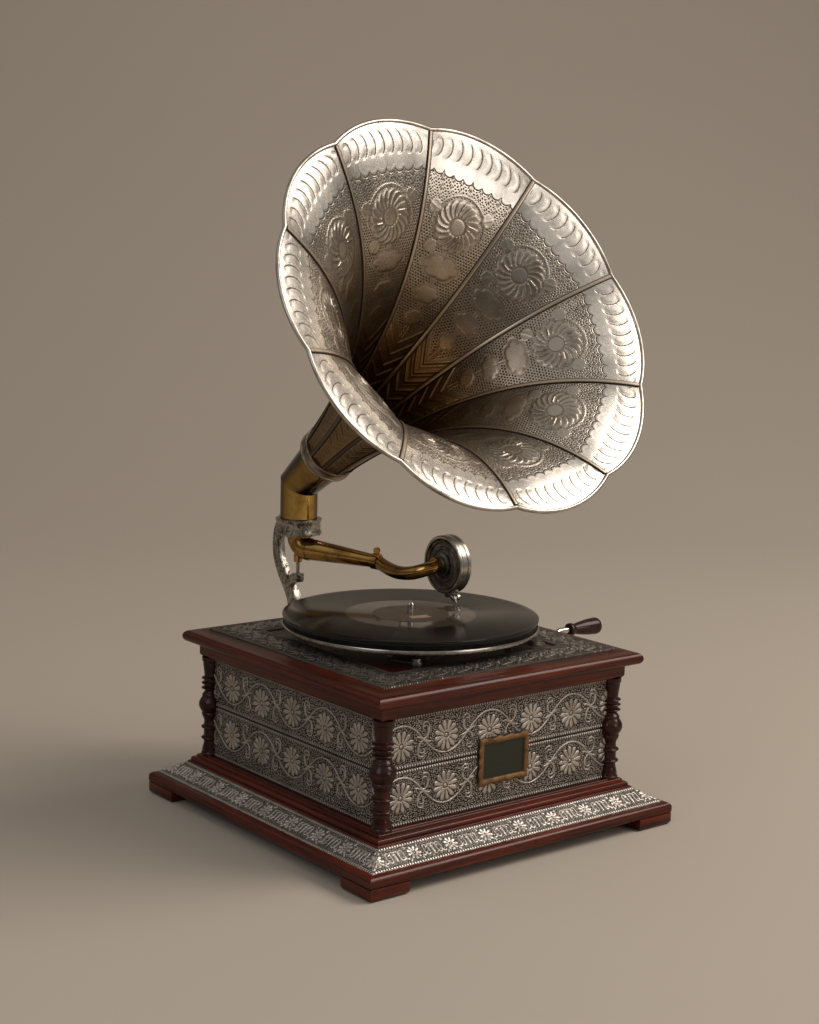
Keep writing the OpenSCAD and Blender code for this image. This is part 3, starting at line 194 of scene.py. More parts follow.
class Number:
    """A number in a shader's nodes, so that sums are written as usual."""

    def __init__(self, tree, socket):
        self.tree = tree
        self.socket = socket

    def math(self, how, other=0.0, clamp=False):
        return self.sum(how, self, other, clamp)

    def sum(self, how, first, second, clamp=False):
        node = add_node(self.tree, "ShaderNodeMath", {0: first, 1: second}, operation=how, use_clamp=clamp)
        return Number(self.tree, node.outputs[0])

    def __add__(self, other):
        return self.math("ADD", other)

    def __sub__(self, other):
        return self.math("SUBTRACT", other)

    def __rsub__(self, other):
        return self.sum("SUBTRACT", other, self)

    def __mul__(self, other):
        return self.math("MULTIPLY", other)

    def __truediv__(self, other):
        return self.math("DIVIDE", other)

    def __pow__(self, other):
        return self.math("POWER", other)

    def __abs__(self):
        return self.math("ABSOLUTE")

    def ramp(self, start, end, low=0.0, high=1.0):
        """Goes evenly from low at start to high at end, and stays there."""
        node = add_node(self.tree, "ShaderNodeMapRange", {0: self, 1: start, 2: end, 3: low, 4: high})
        return Number(self.tree, node.outputs[0])


def hypotenuse(x, y):
    return (x ** 2.0 + y ** 2.0).math("SQRT")


class Finish:
    """A material under way, with short calls for its textures."""

    def __init__(self, name):
        self.material = bpy.data.materials.new(name)
        self.material.use_nodes = True
        self.tree = self.material.node_tree
        self.tree.nodes.clear()
        self.shader = self.add("ShaderNodeBsdfPrincipled")
        self.add("ShaderNodeOutputMaterial", {"Surface": self.shader.outputs[0]})

    def add(self, kind, inputs=None, **settings):
        return add_node(self.tree, kind, inputs, **settings)

    def place(self):
        """The model's own coordinates."""
        return self.add("ShaderNodeTexCoord").outputs["Object"]

    def parts(self, vector):
        """The three numbers of a vector."""
        node = self.add("ShaderNodeSeparateXYZ", {0: vector})
        return [Number(self.tree, socket) for socket in node.outputs]

    def joined(self, x, y, z):
        return self.add("ShaderNodeCombineXYZ", {0: x, 1: y, 2: z}).outputs[0]

    def mark(self, name):
        """A number that the vertices of a sheet carry."""
        return Number(self.tree, self.add("ShaderNodeAttribute", attribute_name=name).outputs["Fac"])

    def noise(self, place, scale, detail, dimensions="3D", **more):
        """Noise at a place, or at a number for one dimension."""
        space = "W" if dimensions == "1D" else "Vector"
        inputs = {space: place, "Scale": scale, "Detail": detail, **more}
        node = self.add("ShaderNodeTexNoise", inputs, noise_dimensions=dimensions)
        return Number(self.tree, node.outputs[0])

    def blend(self, amount, first, second):
        """Colour between first and second, each of which is a socket or a colour."""
        first, second = (c if isinstance(c, bpy.types.NodeSocket) else opaque(c) for c in (first, second))
        return self.add("ShaderNodeMix", {0: amount, 6: first, 7: second}, data_type="RGBA").outputs[2]

    def bump(self, height, strength, distance):
        inputs = {"Strength": strength, "Distance": distance, "Height": height}
        return self.add("ShaderNodeBump", inputs).outputs[0]

    def done(self, **inputs):
        """Sets the shader's sockets, whose names have _ for a space, and gives the material."""
        set_sockets(self.tree, self.shader, {name.replace("_", " "): value for name, value in inputs.items()})
        return self.material


def grain_space(finish, upright):
    """Object coordinates with X along the grain, which runs along each side of the square cabinet
    or up a turned piece."""
    place = finish.place()
    x, y, z = finish.parts(place)
    if upright:
        return finish.joined(z, x, y)
    beside = abs(x).math("GREATER_THAN", abs(y))
    inputs = {0: beside, 4: place, 5: finish.joined(y, x, z)}
    return finish.add("ShaderNodeMix", inputs, data_type="VECTOR").outputs[1]


def polished_wood(name, dark, light, upright=False, gloss=0.19):
    """French-polished mahogany: long red-brown figure, short dark pores and a clear coat."""
    finish = Finish(name)
    space = grain_space(finish, upright)
    # The figure runs about 140 mm along the board and 6 mm across it
    stretched = finish.add("ShaderNodeMapping", {0: space, 3: (7.0, 160.0, 160.0)}).outputs[0]
    figure = finish.noise(stretched, 1.0, 5.0, Roughness=0.6)
    # Pores are 0.5 mm wide and about 12 mm long
    fine = finish.add("ShaderNodeMapping", {0: space, 3: (80.0, 2200.0, 2200.0)}).outputs[0]
    pores = finish.noise(fine, 1.0, 2.0)
    wood = finish.blend(figure.ramp(0.3, 0.7), dark, light)
    stained = finish.blend(pores.ramp(0.45, 0.33, 0.0, 0.75), wood, opaque(dark, 0.35))
    return finish.done(
        Base_Color=stained, Normal=finish.bump(pores, 0.12, 0.0003), Roughness=0.5,
        Specular_IOR_Level=0.1, Coat_Weight=0.5, Coat_Roughness=gloss,
    )


def crescent_cuts(across, inward):
    """Line of the row of crescent cuts along the rim, and the painted shade in the scoop inside each arc."""
    cell = (across / CRESCENT_PITCH + 0.5).math("FRACT") - 0.5
    dx = cell * CRESCENT_PITCH - CRESCENT_SHIFT
    dy = inward - CRESCENT_Y
    away = hypotenuse(dx, dy) - CRESCENT_R
    ends = abs(dy).ramp(CRESCENT_END, 7.0)
    line = abs(away).ramp(0.75, 0.2)
    scoop = away.ramp(-CRESCENT_SCOOP, 0.0) * away.math("LESS_THAN", 0.0)
    return line * ends, scoop * ends


def staggered_pits(finish, flat, pitch):
    """Distance to the nearest of the round pits, as a share of their pitch.
    They stand in staggered, uneven rows."""
    step = pitch * math.sqrt(3) / 2
    wander = (finish.noise(flat, 0.22, 1.0, "2D") - 0.5) * (0.4 * pitch)
    x, y, _ = finish.parts(flat)
    rows = (y + wander) / step
    odd = rows.math("FLOOR").math("MODULO", 2.0) * 0.5
    dx = ((x + wander) / pitch + odd).math("FRACT") - 0.5
    dy = (rows.math("FRACT") - 0.5) * (step / pitch)
    return hypotenuse(dx, dy)


def horn_dents(finish, flat, pitch):
    """Pits in the punched ground, crescent cuts with painted shade in their scoops where the beaded mark is,
    and the scalloped line.
    """
    marks = staggered_pits(finish, flat, pitch).ramp(0.35, 0.2) * finish.mark("punched")
    along, inward, _ = finish.parts(flat)
    line, scoop = crescent_cuts(along, inward)
    # The scoop inside each arc darkens a little towards its line: painted shade
    cuts = (line * 0.95).math("MAXIMUM", scoop * 0.3) * finish.mark("beaded")
    scallop = abs(finish.mark("scallop")).ramp(1.0, 0.4)
    return marks.math("MAXIMUM", cuts.math("MAXIMUM", scallop))


def sheet_dents(finish, flat, pitch):
    """Gaps between the raised pebbles of the punched ground, and between the beads of a beaded line."""
    inputs = {"Vector": flat, "Scale": 1 / pitch, "Randomness": 0.75}
    cells = finish.add("ShaderNodeTexVoronoi", inputs, voronoi_dimensions="2D")
    marks = Number(finish.tree, cells.outputs["Distance"]).ramp(0.22, 0.42) * finish.mark("punched")
    along = finish.parts(flat)[0]
    gaps = abs((along / BEAD).math("FRACT") - 0.5).ramp(0.2, 0.34) * finish.mark("beaded")
    return marks.math("MAXIMUM", gaps)


def embossed_metal(name, light, stain, brown, pitch, polish, depth, dents_of=sheet_dents):
    """Embossed white metal: raised parts rubbed bright, hollows and punched ground black with age.
    pitch is the distance between punch marks and depth that of their dents, both in millimetres."""
    finish = Finish(name)
    # The pattern's own map is in millimetres
    flat = finish.add("ShaderNodeUVMap").outputs[0]
    dents = dents_of(finish, flat, pitch)
    patina = finish.noise(flat, 0.05, 4.0, "2D").ramp(0.42, 0.68, 0.0, 0.6)
    scratch = finish.noise(flat, 0.9, 3.0, "2D")
    worn = finish.blend(patina, light, opaque(light, 0.55))
    warm = finish.blend(finish.mark("aged"), worn, brown)
    dark = (dents * 0.9).math("MAXIMUM", finish.mark("hollow"), clamp=True)
    roughness = dark.ramp(0.0, 1.0, polish, polish + 0.3) + (scratch - 0.5) * 0.12
    return finish.done(
        Base_Color=finish.blend(dark, warm, stain), Roughness=roughness,
        Normal=finish.bump(scratch * 0.025 - dents, 0.8, depth * MM), Metallic=1.0,
    )


def aged_metal(name, light, dark, roughness, patch_mm, streak=0.0, coverage=0.5, edge=0.0):
    """Plain metal that is handled and has aged: patches of tarnish, fine wear and uneven gloss.
    edge is how strongly the colour turns to a painted dark reflection where the surface turns away from the
    view."""
    finish = Finish(name)
    place = finish.place()
    patches = finish.noise(place, 1000 / patch_mm, 5.0, Roughness=0.65)
    fine = finish.noise(place, 900.0, 3.0)
    tarnish = patches.ramp(0.62 - 0.3 * coverage, 0.85 - 0.3 * coverage)
    colour = finish.blend(tarnish, light, dark)
    if edge:
        # Painted dark reflection: the colour darkens to near black where the surface turns away from the view
        facing = Number(finish.tree, finish.add("ShaderNodeLayerWeight", {"Blend": 0.4}).outputs["Facing"])
        painted_grazing_shade = (facing ** 1.6).math("MULTIPLY", edge, clamp=True)
        colour = finish.blend(painted_grazing_shade, colour, opaque(dark, 0.12))
    uneven = tarnish * 0.18 + fine * 0.1 + (roughness - 0.05)
    bump = finish.bump(fine, 0.15 + streak, 0.0002)
    return finish.done(Base_Color=colour, Roughness=uneven, Normal=bump, Metallic=1.0)


def engraved_metal(name, light, dark, roughness, scroll_mm):
    """Cast and engraved metal: curling cut lines, dark where the graver went."""
    finish = Finish(name)
    swirl = finish.noise(finish.place(), 1000 / scroll_mm, 1.0, Distortion=1.6)
    rings = (swirl * 30.0).math("SINE")
    cut = rings.ramp(-0.35, -0.95, 0.0, 0.8)
    return finish.done(
        Base_Color=finish.blend(cut, light, dark), Roughness=cut.ramp(0.0, 1.0, roughness, roughness + 0.25),
        Normal=finish.bump(rings, 0.2, 0.0002), Metallic=1.0,
    )


def pressed_shellac(name, black, run_out):
    """Shellac record: fine rings that catch the light in fans, with a smoother brown run-out inside."""
    finish = Finish(name)
    place = finish.place()
    x, y, _ = finish.parts(place)
    radius = hypotenuse(x, y)
    # Real grooves are 0.25 mm apart; these are 1.1 mm apart so that they show in the render
    groove = (radius * (2 * math.pi / 0.0011)).math("SINE")
    inner = radius.ramp(0.0655, 0.0640)
    grooved = 1.0 - inner.math("MAXIMUM", radius.ramp(0.1225, 0.1235))
    dust = finish.noise(place, 60.0, 6.0, Roughness=0.7).ramp(0.45, 0.8, 0.0, 0.12)
    dusty = finish.blend(dust, black, [c + 0.03 for c in srgb(black)])
    bands = finish.noise(radius * 260.0, 1.0, 3.0, "1D").ramp(0.3, 0.7, 0.17, 0.2)
    # The tangent runs round the disc; a quarter turn spreads each reflection across the grooves
    around = finish.add("ShaderNodeTangent", direction_type="RADIAL", axis="Z").outputs[0]
    return finish.done(
        Base_Color=finish.blend(inner * 0.85, dusty, run_out), Roughness=grooved.ramp(0.0, 1.0, 0.13, bands),
        Normal=finish.bump(groove * grooved, 0.2, 0.00004), Tangent=around, Anisotropic=grooved,
        Anisotropic_Rotation=0.25, Specular_IOR_Level=grooved.ramp(0.0, 1.0, 0.45, 0.24),
    )


def soft_material(name, light, dark, roughness, grain_mm, sheen=0.0, dent=0.2):
    """Felt, leather, paper, fibre or mica: a mottled colour over a fine grain."""
    finish = Finish(name)
    place = finish.place()
    grain = finish.noise(place, 1000 / grain_mm, 4.0)
    mottle = finish.noise(place, 120.0, 3.0)
    colour = finish.blend(((grain + mottle) * 0.5).ramp(0.35, 0.65), dark, light)
    bump = finish.bump(grain, 0.4, dent * MM)
    return finish.done(Base_Color=colour, Normal=bump, Roughness=roughness, Sheen_Weight=sheen)


def make_finishes(colours):
    """All materials by the name of the finish."""
    wood, metal, soft = polished_wood, aged_metal, soft_material
    # Darkened copies of the mahogany's colours for the turned columns: painted shade
    wood_dark, wood_light = opaque(colours.wood_dark, 0.3), opaque(colours.wood_light, 0.35)
    brown = "#8f8672"
    # A darker copy of the panel metal for the top border: painted shade
    panel = opaque(colours.panel, 0.7)
    return {
        "mahogany": wood("polished_mahogany", colours.wood_dark, colours.wood_light),
        "turned": wood("turned_mahogany", wood_dark, wood_light, upright=True, gloss=0.09),
        # Near-black wood for the walls and posts that show in the gaps behind the sheets: painted shade
        "shadow_wood": wood("painted_shade_wood", "#1c0a07", "#30120c", gloss=0.3),
        "deck_wood": wood("motor_board_mahogany", "#2a0e09", "#4a1c12", gloss=0.2),
        "grip_wood": wood("turned_grip_wood", "#23100b", "#45201a", gloss=0.15),
        "horn": embossed_metal(
            "embossed_horn_metal", colours.horn, "#2a2119", "#836b4a", 3.2, 0.28, 0.3, horn_dents
        ),
        "panel": embossed_metal("embossed_panel_metal", colours.panel, "#14100d", brown, 1.9, 0.46, 0.4),
        # The border's metal and its ground are darker than the walls': painted shade
        "border": embossed_metal("embossed_border_metal", panel, "#0c0a08", brown, 1.6, 0.42, 0.35),
        "slope": embossed_metal("embossed_slope_metal", "#e0d8ce", "#1d1713", brown, 1.3, 0.4, 0.35),
        "welt": embossed_metal("seam_metal", "#d9cab5", "#2b2119", "#9c8468", 3.0, 0.32, 0.2),
        "wire": metal("rim_metal", "#c9c2b8", "#7f766b", 0.3, 40),
        # Both brasses carry real tarnish patches and, through edge, a painted dark reflection along their
        # edges
        "brass": metal("aged_brass", "#bf9c58", "#7d622d", 0.09, 45, coverage=0.45, edge=2.4),
        "dark_brass": metal("tarnished_brass_and_painted_edge_shade", "#c69a58", "#74552a", 0.14, 26, coverage=0.55, edge=1.7),
        "plate_brass": metal("stamped_brass", "#917150", "#66503a", 0.68, 12, streak=0.2),
        "engraved": engraved_metal("engraved_nickel", "#aca59a", "#2f2923", 0.3, 12),
        "tail_silver": metal("tail_band_metal", "#a89c8c", "#6d5f50", 0.3, 30, coverage=0.6),
        "nickel": metal("worn_nickel", "#bdb8ae", "#7d766b", 0.22, 25),
        # Dark metal for the platter's upper rim under the record's edge: painted shade
        "painted_shade_rim": metal("shaded_rim", "#2b2926", "#161412", 0.5, 30),
        "dull_nickel": metal("dull_nickel", "#8d887f", "#4c4740", 0.36, 12, coverage=0.7),
        "bright": metal("bright_plate", "#d2cec6", "#a39c90", 0.12, 50, coverage=0.3),
        "steel": metal("machined_steel", "#b5b3ae", "#84817a", 0.3, 14),
        "spring_steel": metal("blued_spring_steel", "#6d7178", "#3f4247", 0.3, 20),
        "gear_brass": metal("cut_brass", "#c6a45a", "#97773a", 0.3, 20),
        "shellac": pressed_shellac("pressed_shellac", "#0a0a0a", "#5a4e43"),
        "label": soft("worn_label_paper", "#6b5d4e", "#4c4136", 0.45, 0.8),
        "patch": soft("bare_paper", "#c9ad8a", "#ab8f6e", 0.8, 0.6),
        "felt": soft("pressed_felt", "#1d1f1b", "#121310", 0.95, 0.5, sheen=0.4),
        "leather": soft("brake_leather", "#7b5635", "#573a22", 0.75, 0.7),
        "fibre": soft("pressed_fibre", "#8a6740", "#6b4d2d", 0.7, 0.6),
        "mica": soft("mica_sheet", "#c9c2b2", "#a69e8c", 0.25, 6.0, dent=0.05),
        "enamel": soft("dark_green_enamel", "#22260f", "#181c0c", 0.5, 3.0, dent=0.05),
    }


# Modelling by hand: primitives, extrusions and applied modifiers

# Vertices of a CAD node that are closer than this are merged
MERGE = 0.02


def alone(piece=None):
    """Leaves edit mode and clears the selection, or leaves only one piece selected and active."""
    if bpy.context.object and bpy.context.object.mode != "OBJECT":
        bpy.ops.object.mode_set(mode="OBJECT")
    bpy.ops.object.select_all(action="DESELECT")
    if piece:
        piece.select_set(True)
        bpy.context.view_layer.objects.active = piece


def edit(action):
    """Opens the active mesh, with everything selected or deselected."""
    bpy.ops.object.mode_set(mode="EDIT")
    bpy.ops.mesh.select_all(action=action)


def named(name):
    piece = bpy.context.active_object
    piece.name = name
    piece.data.name = name
    return piece


def finish_piece(piece, body, kind, *nodes, angle=35, slot=None):
    """Gives a piece its smooth shading, material and body, and hides the CAD nodes that it stands for."""
    alone(piece)
    bpy.ops.object.shade_smooth_by_angle(angle=math.radians(angle))
    piece.data.materials.clear()
    piece.data.materials.append(material(kind))
    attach(piece, body)
    if nodes:
        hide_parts(*nodes)


def apply_modifier(piece, kind, **settings):
    alone(piece)
    modifier = piece.modifiers.new(kind.title(), kind)
    for name, value in settings.items():
        setattr(modifier, name, value)
    bpy.ops.object.modifier_apply(modifier=modifier.name)


def stacked(name, outline, sides, ring=False, place=None):
    """A turned or square piece: a first outline that is extruded and resized from step to step.
    outline is (radius or half width, height) from the bottom up. ring closes it to a hollow frame."""
    alone()
    r, z = outline[0]
    start = (0, 0, z * MM)
    if sides == 4:
        bpy.ops.mesh.primitive_plane_add(size=2 * r * MM, location=start)
    else:
        bpy.ops.mesh.primitive_circle_add(vertices=sides, radius=r * MM, fill_type="NGON", location=start)
    piece = named(name)
    edit("SELECT")
    for next_r, next_z in outline[1:]:
        bpy.ops.mesh.extrude_region_move(TRANSFORM_OT_translate={"value": (0, 0, (next_z - z) * MM)})
        scale = next_r / r
        bpy.ops.transform.resize(value=(scale, scale, 1), center_override=(0, 0, 0))
        r, z = next_r, next_z
    bpy.ops.object.mode_set(mode="OBJECT")
    if ring:
        close_ring(piece, sides)
    bpy.ops.object.transform_apply(location=True, rotation=True, scale=True)
    edit("SELECT")
    bpy.ops.mesh.normals_make_consistent(inside=False)
    bpy.ops.object.mode_set(mode="OBJECT")
    if place is not None:
        piece.data.transform(place)
    return piece


def close_ring(piece, sides):
    """Bridges the two end faces of a stacked piece, so that it becomes a frame."""
    bpy.ops.object.mode_set(mode="EDIT")
    bpy.ops.mesh.select_mode(type="FACE")
    bpy.ops.mesh.select_all(action="DESELECT")
    bpy.ops.object.mode_set(mode="OBJECT")
    for face in piece.data.polygons:
        middle = sum((piece.data.vertices[i].co for i in face.vertices), Vector()) / len(face.vertices)
        face.select = len(face.vertices) == sides and abs(middle.x) < 1e-6 and abs(middle.y) < 1e-6
    bpy.ops.object.mode_set(mode="EDIT")
    bpy.ops.mesh.bridge_edge_loops()
    bpy.ops.object.mode_set(mode="OBJECT")


def refined(node, kind, bevel=0.0, angle=35):
    """A merged and smoothed copy of a CAD node, with broken edges, that stands for it."""
    source = frame["nodes"][node]
    piece = bpy.data.objects.new(node + "_finished", source.data.copy())
    bpy.context.scene.collection.objects.link(piece)
    alone(piece)
    edit("SELECT")
    bpy.ops.mesh.remove_doubles(threshold=MERGE * MM)
    bpy.ops.mesh.dissolve_limited(angle_limit=math.radians(0.5))
    bpy.ops.object.mode_set(mode="OBJECT")
    if "custom_normal" in piece.data.attributes:
        piece.data.attributes.remove(piece.data.attributes["custom_normal"])
    if bevel:
        apply_modifier(
            piece, "BEVEL", width=bevel * MM, segments=2, limit_method="ANGLE", angle_limit=math.radians(40),
            use_clamp_overlap=True,
        )
    finish_piece(piece, source["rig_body"], kind, node, angle=angle)


# Embossed sheets

def read_places(mesh):
    """Places of a mesh's vertices, in metres."""
    places = np.empty(len(mesh.vertices) * 3)
    mesh.vertices.foreach_get("co", places)
    return places.reshape(-1, 3)


class Sheet:
    """A fine grid whose vertices are laid out in rows, with its flat pattern in millimetres."""

    def __init__(self, name, across, along):
        alone()
        bpy.ops.mesh.primitive_grid_add(x_subdivisions=across, y_subdivisions=along, size=1)
        self.piece = named(name)
        places = read_places(self.piece.data)
        self.u = places[:, 0] + 0.5
        self.v = places[:, 1] + 0.5
        self.order = np.lexsort((np.round(self.u, 6), np.round(self.v, 6)))
        self.rows = len(np.unique(np.round(self.v, 6)))

    def tidy(self, values):
        """Values in rows, from values by vertex."""
        return values[self.order].reshape(self.rows, -1)

    def loose(self, rows):
        """Values by vertex, from values in rows."""
        values = np.empty(rows.size)
        values[self.order] = rows.ravel()
        return values

    def lay(self, points):
        """Moves the vertices to points, given in millimetres."""
        mesh = self.piece.data
        mesh.vertices.foreach_set("co", (points * MM).astype(np.float32).ravel())
        mesh.update()

    def pattern(self, x, y):
        """Writes the flat pattern as the UV map, in millimetres."""
        mesh = self.piece.data
        index = np.empty(len(mesh.loops), dtype=np.int32)
        mesh.loops.foreach_get("vertex_index", index)
        flat = np.stack([x[index], y[index]], -1)
        mesh.uv_layers.active.data.foreach_set("uv", flat.astype(np.float32).ravel())

    def mark(self, name, values):
        layer = self.piece.data.attributes.new(name, "FLOAT", "POINT")
        layer.data.foreach_set("value", values.astype(np.float32))

    def mark_age(self, height, punched, beaded, aged=0.0):
        """Darkens what lies deeper than its surroundings, fully so at half a millimetre."""
        rows = self.tidy(height)
        soft = rows.copy()
        for _ in range(7):
            soft[1:-1] = (soft[:-2] + 2 * soft[1:-1] + soft[2:]) / 4
            soft[:, 1:-1] = (soft[:, :-2] + 2 * soft[:, 1:-1] + soft[:, 2:]) / 4
        self.mark("hollow", self.loose(np.clip((soft - rows) / 0.5, 0, 1)))
        self.mark("punched", punched)
        self.mark("aged", np.zeros_like(height) + aged)
        self.mark("beaded", beaded)

    def thicken(self, thickness):
        apply_modifier(self.piece, "SOLIDIFY", thickness=thickness * MM, offset=-1)

    def back(self, shift):
        """Closes a sheet behind: its edge is extruded by shift, in millimetres, and filled."""
        alone(self.piece)
        bpy.ops.object.mode_set(mode="EDIT")
        bpy.ops.mesh.select_mode(type="EDGE")
        bpy.ops.mesh.select_all(action="DESELECT")
        bpy.ops.mesh.select_non_manifold(extend=False)
        bpy.ops.mesh.extrude_edges_move(TRANSFORM_OT_translate={"value": tuple(c * MM for c in shift)})
        bpy.ops.mesh.edge_face_add()
        bpy.ops.object.mode_set(mode="OBJECT")


def stroke(x, y, points, start_w, end_w, height):
    """Height of a rounded ridge along a path of points, from start_w to end_w in half width."""
    points = np.array(points, dtype=float)
    reach = max(start_w, end_w) + 0.2
    inside = (
        (x > points[:, 0].min() - reach) & (x < points[:, 0].max() + reach)
        & (y > points[:, 1].min() - reach) & (y < points[:, 1].max() + reach)
    )
    result = np.zeros_like(x)
    px, py = x[inside], y[inside]
    best = np.zeros_like(px)
    count = len(points) - 1
    for i in range(count):
        a, b = points[i], points[i + 1]
        way = b - a
        size = way @ way
        if size == 0:
            continue
        t = np.clip(((px - a[0]) * way[0] + (py - a[1]) * way[1]) / size, 0, 1)
        away = np.hypot(px - a[0] - t * way[0], py - a[1] - t * way[1])
        width = start_w + (end_w - start_w) * (i + t) / count
        best = np.maximum(best, dome(away, width) * np.sqrt(width / max(start_w, end_w)))
    result[inside] = best * height
    return result


def curl(x0, y0, radius, start, turn, steps):
    """Points of a scroll that begins at (x0, y0), heading along start, and winds by turn (radians)."""
    # The radius shrinks to about half with each half turn
    tighten = 0.72
    points = [(x0, y0)]
    heading = start
    px, py = x0, y0
    r = radius
    for _ in range(steps):
        angle = turn / steps
        length = abs(angle) * r
        heading += angle
        px += length * math.cos(heading)
        py += length * math.sin(heading)
        points.append((px, py))
        r *= tighten ** (abs(turn) / math.pi / steps * 2)
    return points


def daisy(x, y, cx, cy, radius, count, turn):
    """Height of a flower of rounded petals, each with a line inside its edge, round a small ringed boss."""
    dx, dy = x - cx, y - cy
    r = np.hypot(dx, dy)
    near = r < radius + 0.5
    result = np.zeros_like(x)
    rr = r[near]
    phase = np.arctan2(dy[near], dx[near]) * count / (2 * math.pi) + turn
    angle = (phase - np.round(phase)) * 2 * math.pi / count
    along, aside = rr * np.cos(angle), np.abs(rr * np.sin(angle))
    root = 0.2 * radius
    t = np.clip((along - root) / (radius - root), 0, 1)
    widest = 0.7
    broad = 0.7 * radius * math.tan(math.pi / count) * 0.86
    tip = np.sqrt(np.clip(1 - ((t - widest) / (1 - widest)) ** 2, 0, 1))
    width = np.where(t < widest, broad * (0.3 + 0.7 * t / widest), broad * tip)
    petal = np.where(t > 0, dome(aside, np.maximum(width, 0.05)) ** 0.5, 0) * (0.8 + 0.2 * t)
    crease = 0.45 * ridge(aside, 0.35) * (1 - ease(0.45, 0.75, t))
    boss = 0.9 * dome(rr, 0.13 * radius)
    result[near] = np.maximum(petal * (1 - crease), boss)
    return result


# Horn

# Ornament on a petal, as distances from the rim along the wall
SCALLOP_Y = 30
ROSETTE_Y = 73
# Distance, half width, half height and number of lobes
MEDALLIONS = ((115, 19.5, 12.0, 6), (144, 13.5, 9.5, 6), (171, 9.5, 9.0, 4))
CHEVRONS_FROM = 196
CHEVRONS_TO = 296
CHEVRON_PITCH = 15.0

HORN_TURN = (
    Matrix.Rotation(-math.pi / 2 - HORN_HEADING, 4, "Z") @ Matrix.Rotation(math.pi / 2 - HORN_RISE, 4, "Y")
)


def horn_at(q):
    """Height along the axis, radius, and unit direction of the bell's outline at share q of its length."""
    t = q * (1.25 - 0.25 * q)
    weights = [(1 - t) ** 3, 3 * (1 - t) ** 2 * t, 3 * (1 - t) * t ** 2, t ** 3]
    along = sum(w * p[0] for w, p in zip(weights, HORN_CURVE))
    radius = sum(w * p[1] for w, p in zip(weights, HORN_CURVE)) - 4 * FLARE_PULL * t * (1 - t)
    steps = HORN_CURVE[1:] - HORN_CURVE[:-1]
    slopes = [3 * (1 - t) ** 2, 6 * (1 - t) * t, 3 * t ** 2]
    da = sum(w * s[0] for w, s in zip(slopes, steps))
    dr = sum(w * s[1] for w, s in zip(slopes, steps)) - 4 * FLARE_PULL * (1 - 2 * t)
    size = np.hypot(da, dr)
    return along, radius, da / size, dr / size


def horn_place(points):
    """Moves points from the horn's own frame, with its axis along Z, to the model."""
    return points @ np.array(HORN_TURN.to_3x3()).T + np.array([0, PIVOT_Y, MITRE_Z])


def lean(radius, angle):
    """How far the mouth's tilt moves a place along the axis."""
    return math.tan(MOUTH_TILT) * radius ** 2 / MOUTH_R * np.cos(angle)


def ringed(r, angle, z):
    """Points at radius r and height z round the horn's axis, in the model."""
    return horn_place(np.stack([r * np.cos(angle), r * np.sin(angle), z], -1))


def horn_wall(q, across, middle, depth):
    """Points of a petal's wall, by share q of its length, place across from -1 to 1, angle of its middle
    and depth; and the radius there."""
    along, radius, da, dr = horn_at(q)
    half = math.pi / PETALS
    # A petal is flat across between its seams, and bulges to a lobe at the rim
    near_rim = q ** 8
    chord = math.cos(half) / np.cos(across * half)
    base = radius * (near_rim + (1 - near_rim) * chord) + LOBE * (1 - across ** 2) * near_rim
    r = base + depth * da
    trim = np.arcsin(SEAM_W / 2 / r)
    z = along - lean(base, middle + across * half) - depth * dr
    return ringed(r, middle + across * (half - trim), z), base


def horn_lengths():
    """Table of the share q against the length along the bell's wall."""
    q = np.linspace(0, 1, 600)
    along, radius, _, _ = horn_at(q)
    steps = np.hypot(np.diff(along), np.diff(radius))
    return q, np.concatenate([[0], np.cumsum(steps)])


def medallion(x, y, cy, wide, tall, lobes):
    """Plain raised medallion with a lobed outline, and the distance-like value that bounds it."""
    height = 0.5
    dx, dy = x / wide, (y - cy) / tall
    # Round lobes that meet in sharp notches
    edge = 0.82 + 0.22 * np.sqrt(np.abs(np.cos(lobes / 2 * np.arctan2(dy, dx))))
    away = np.hypot(dx, dy) / edge
    body = height * (1 - ease(0.82, 1.0, away)) * (0.75 + 0.25 * dome(away, 1.0))
    line = 0.35 * height * ridge((away - 1.13) * min(wide, tall), 0.8)
    return body + line, away


def rosette_leaf(dx, dy, direction):
    """Height of a leaf that points away from the rosette in a direction, in radians."""
    lx = dx * math.sin(direction) - dy * math.cos(direction)
    ly = dx * math.cos(direction) + dy * math.sin(direction)
    t = (lx - 25.5) / 14
    inside = (t > 0) & (t < 1)
    width = 6.0 * np.sin(math.pi * np.clip(t, 0, 1)) ** 0.8
    leaf = np.where(inside & (np.abs(ly) < width), 0.3 + 0.25 * ridge(ly, 0.8), 0)
    outline = 0.55 * ridge(np.abs(ly) - width - 0.2, 0.7) * inside
    return np.maximum(leaf, outline)


def rosette(x, y, cy):
    """Height and reach of a pinwheel rosette with its arch and three leaves."""
    outer, boss, blades = 25, 8.0, 18
    dx, dy = x, y - cy
    r = np.hypot(dx, dy)
    curve = 1.15 * np.clip((r - boss) / (outer - boss), 0, 1) ** 1.2
    share = saw(np.arctan2(dx, -dy) * blades / (2 * math.pi) + curve)
    rim = outer - 2.6 * (2 * share - 1) ** 2
    # Each blade is hollow, with a sharp raised edge on one side
    blade = (0.2 + 0.55 * share + 0.5 * ridge(share - 0.86, 0.1)) * (1 - ease(rim - 1.2, rim, r))
    blade = blade * ease(boss + 0.4, boss + 1.6, r)
    edge = 0.5 * ridge(r - rim + 0.7, 0.6) * (r > boss)
    arch = 0.55 * ridge(r - 29.0, 0.8) * ease(-0.35, -0.1, -dy / np.maximum(r, 1))
    height = np.maximum(blade, edge)
    height = np.maximum(height, 0.3 * (1 - ease(boss - 1.0, boss, r)))
    height = np.maximum(height, arch)
    for direction in (-1.02, 1.25, 2.5):
        height = np.maximum(height, rosette_leaf(dx, dy, direction) * (r > outer))
    return height, (r < outer + 1) | (height > 0.15)


def scalloped_line(x, y, half):
    """Distance inwards from the scalloped line under the plain polished band."""
    place = 2 * np.abs(saw(x / np.maximum(half, 1) * 4.5) - 0.5)
    return y - (SCALLOP_Y + 5.0 * dome(place, 1))


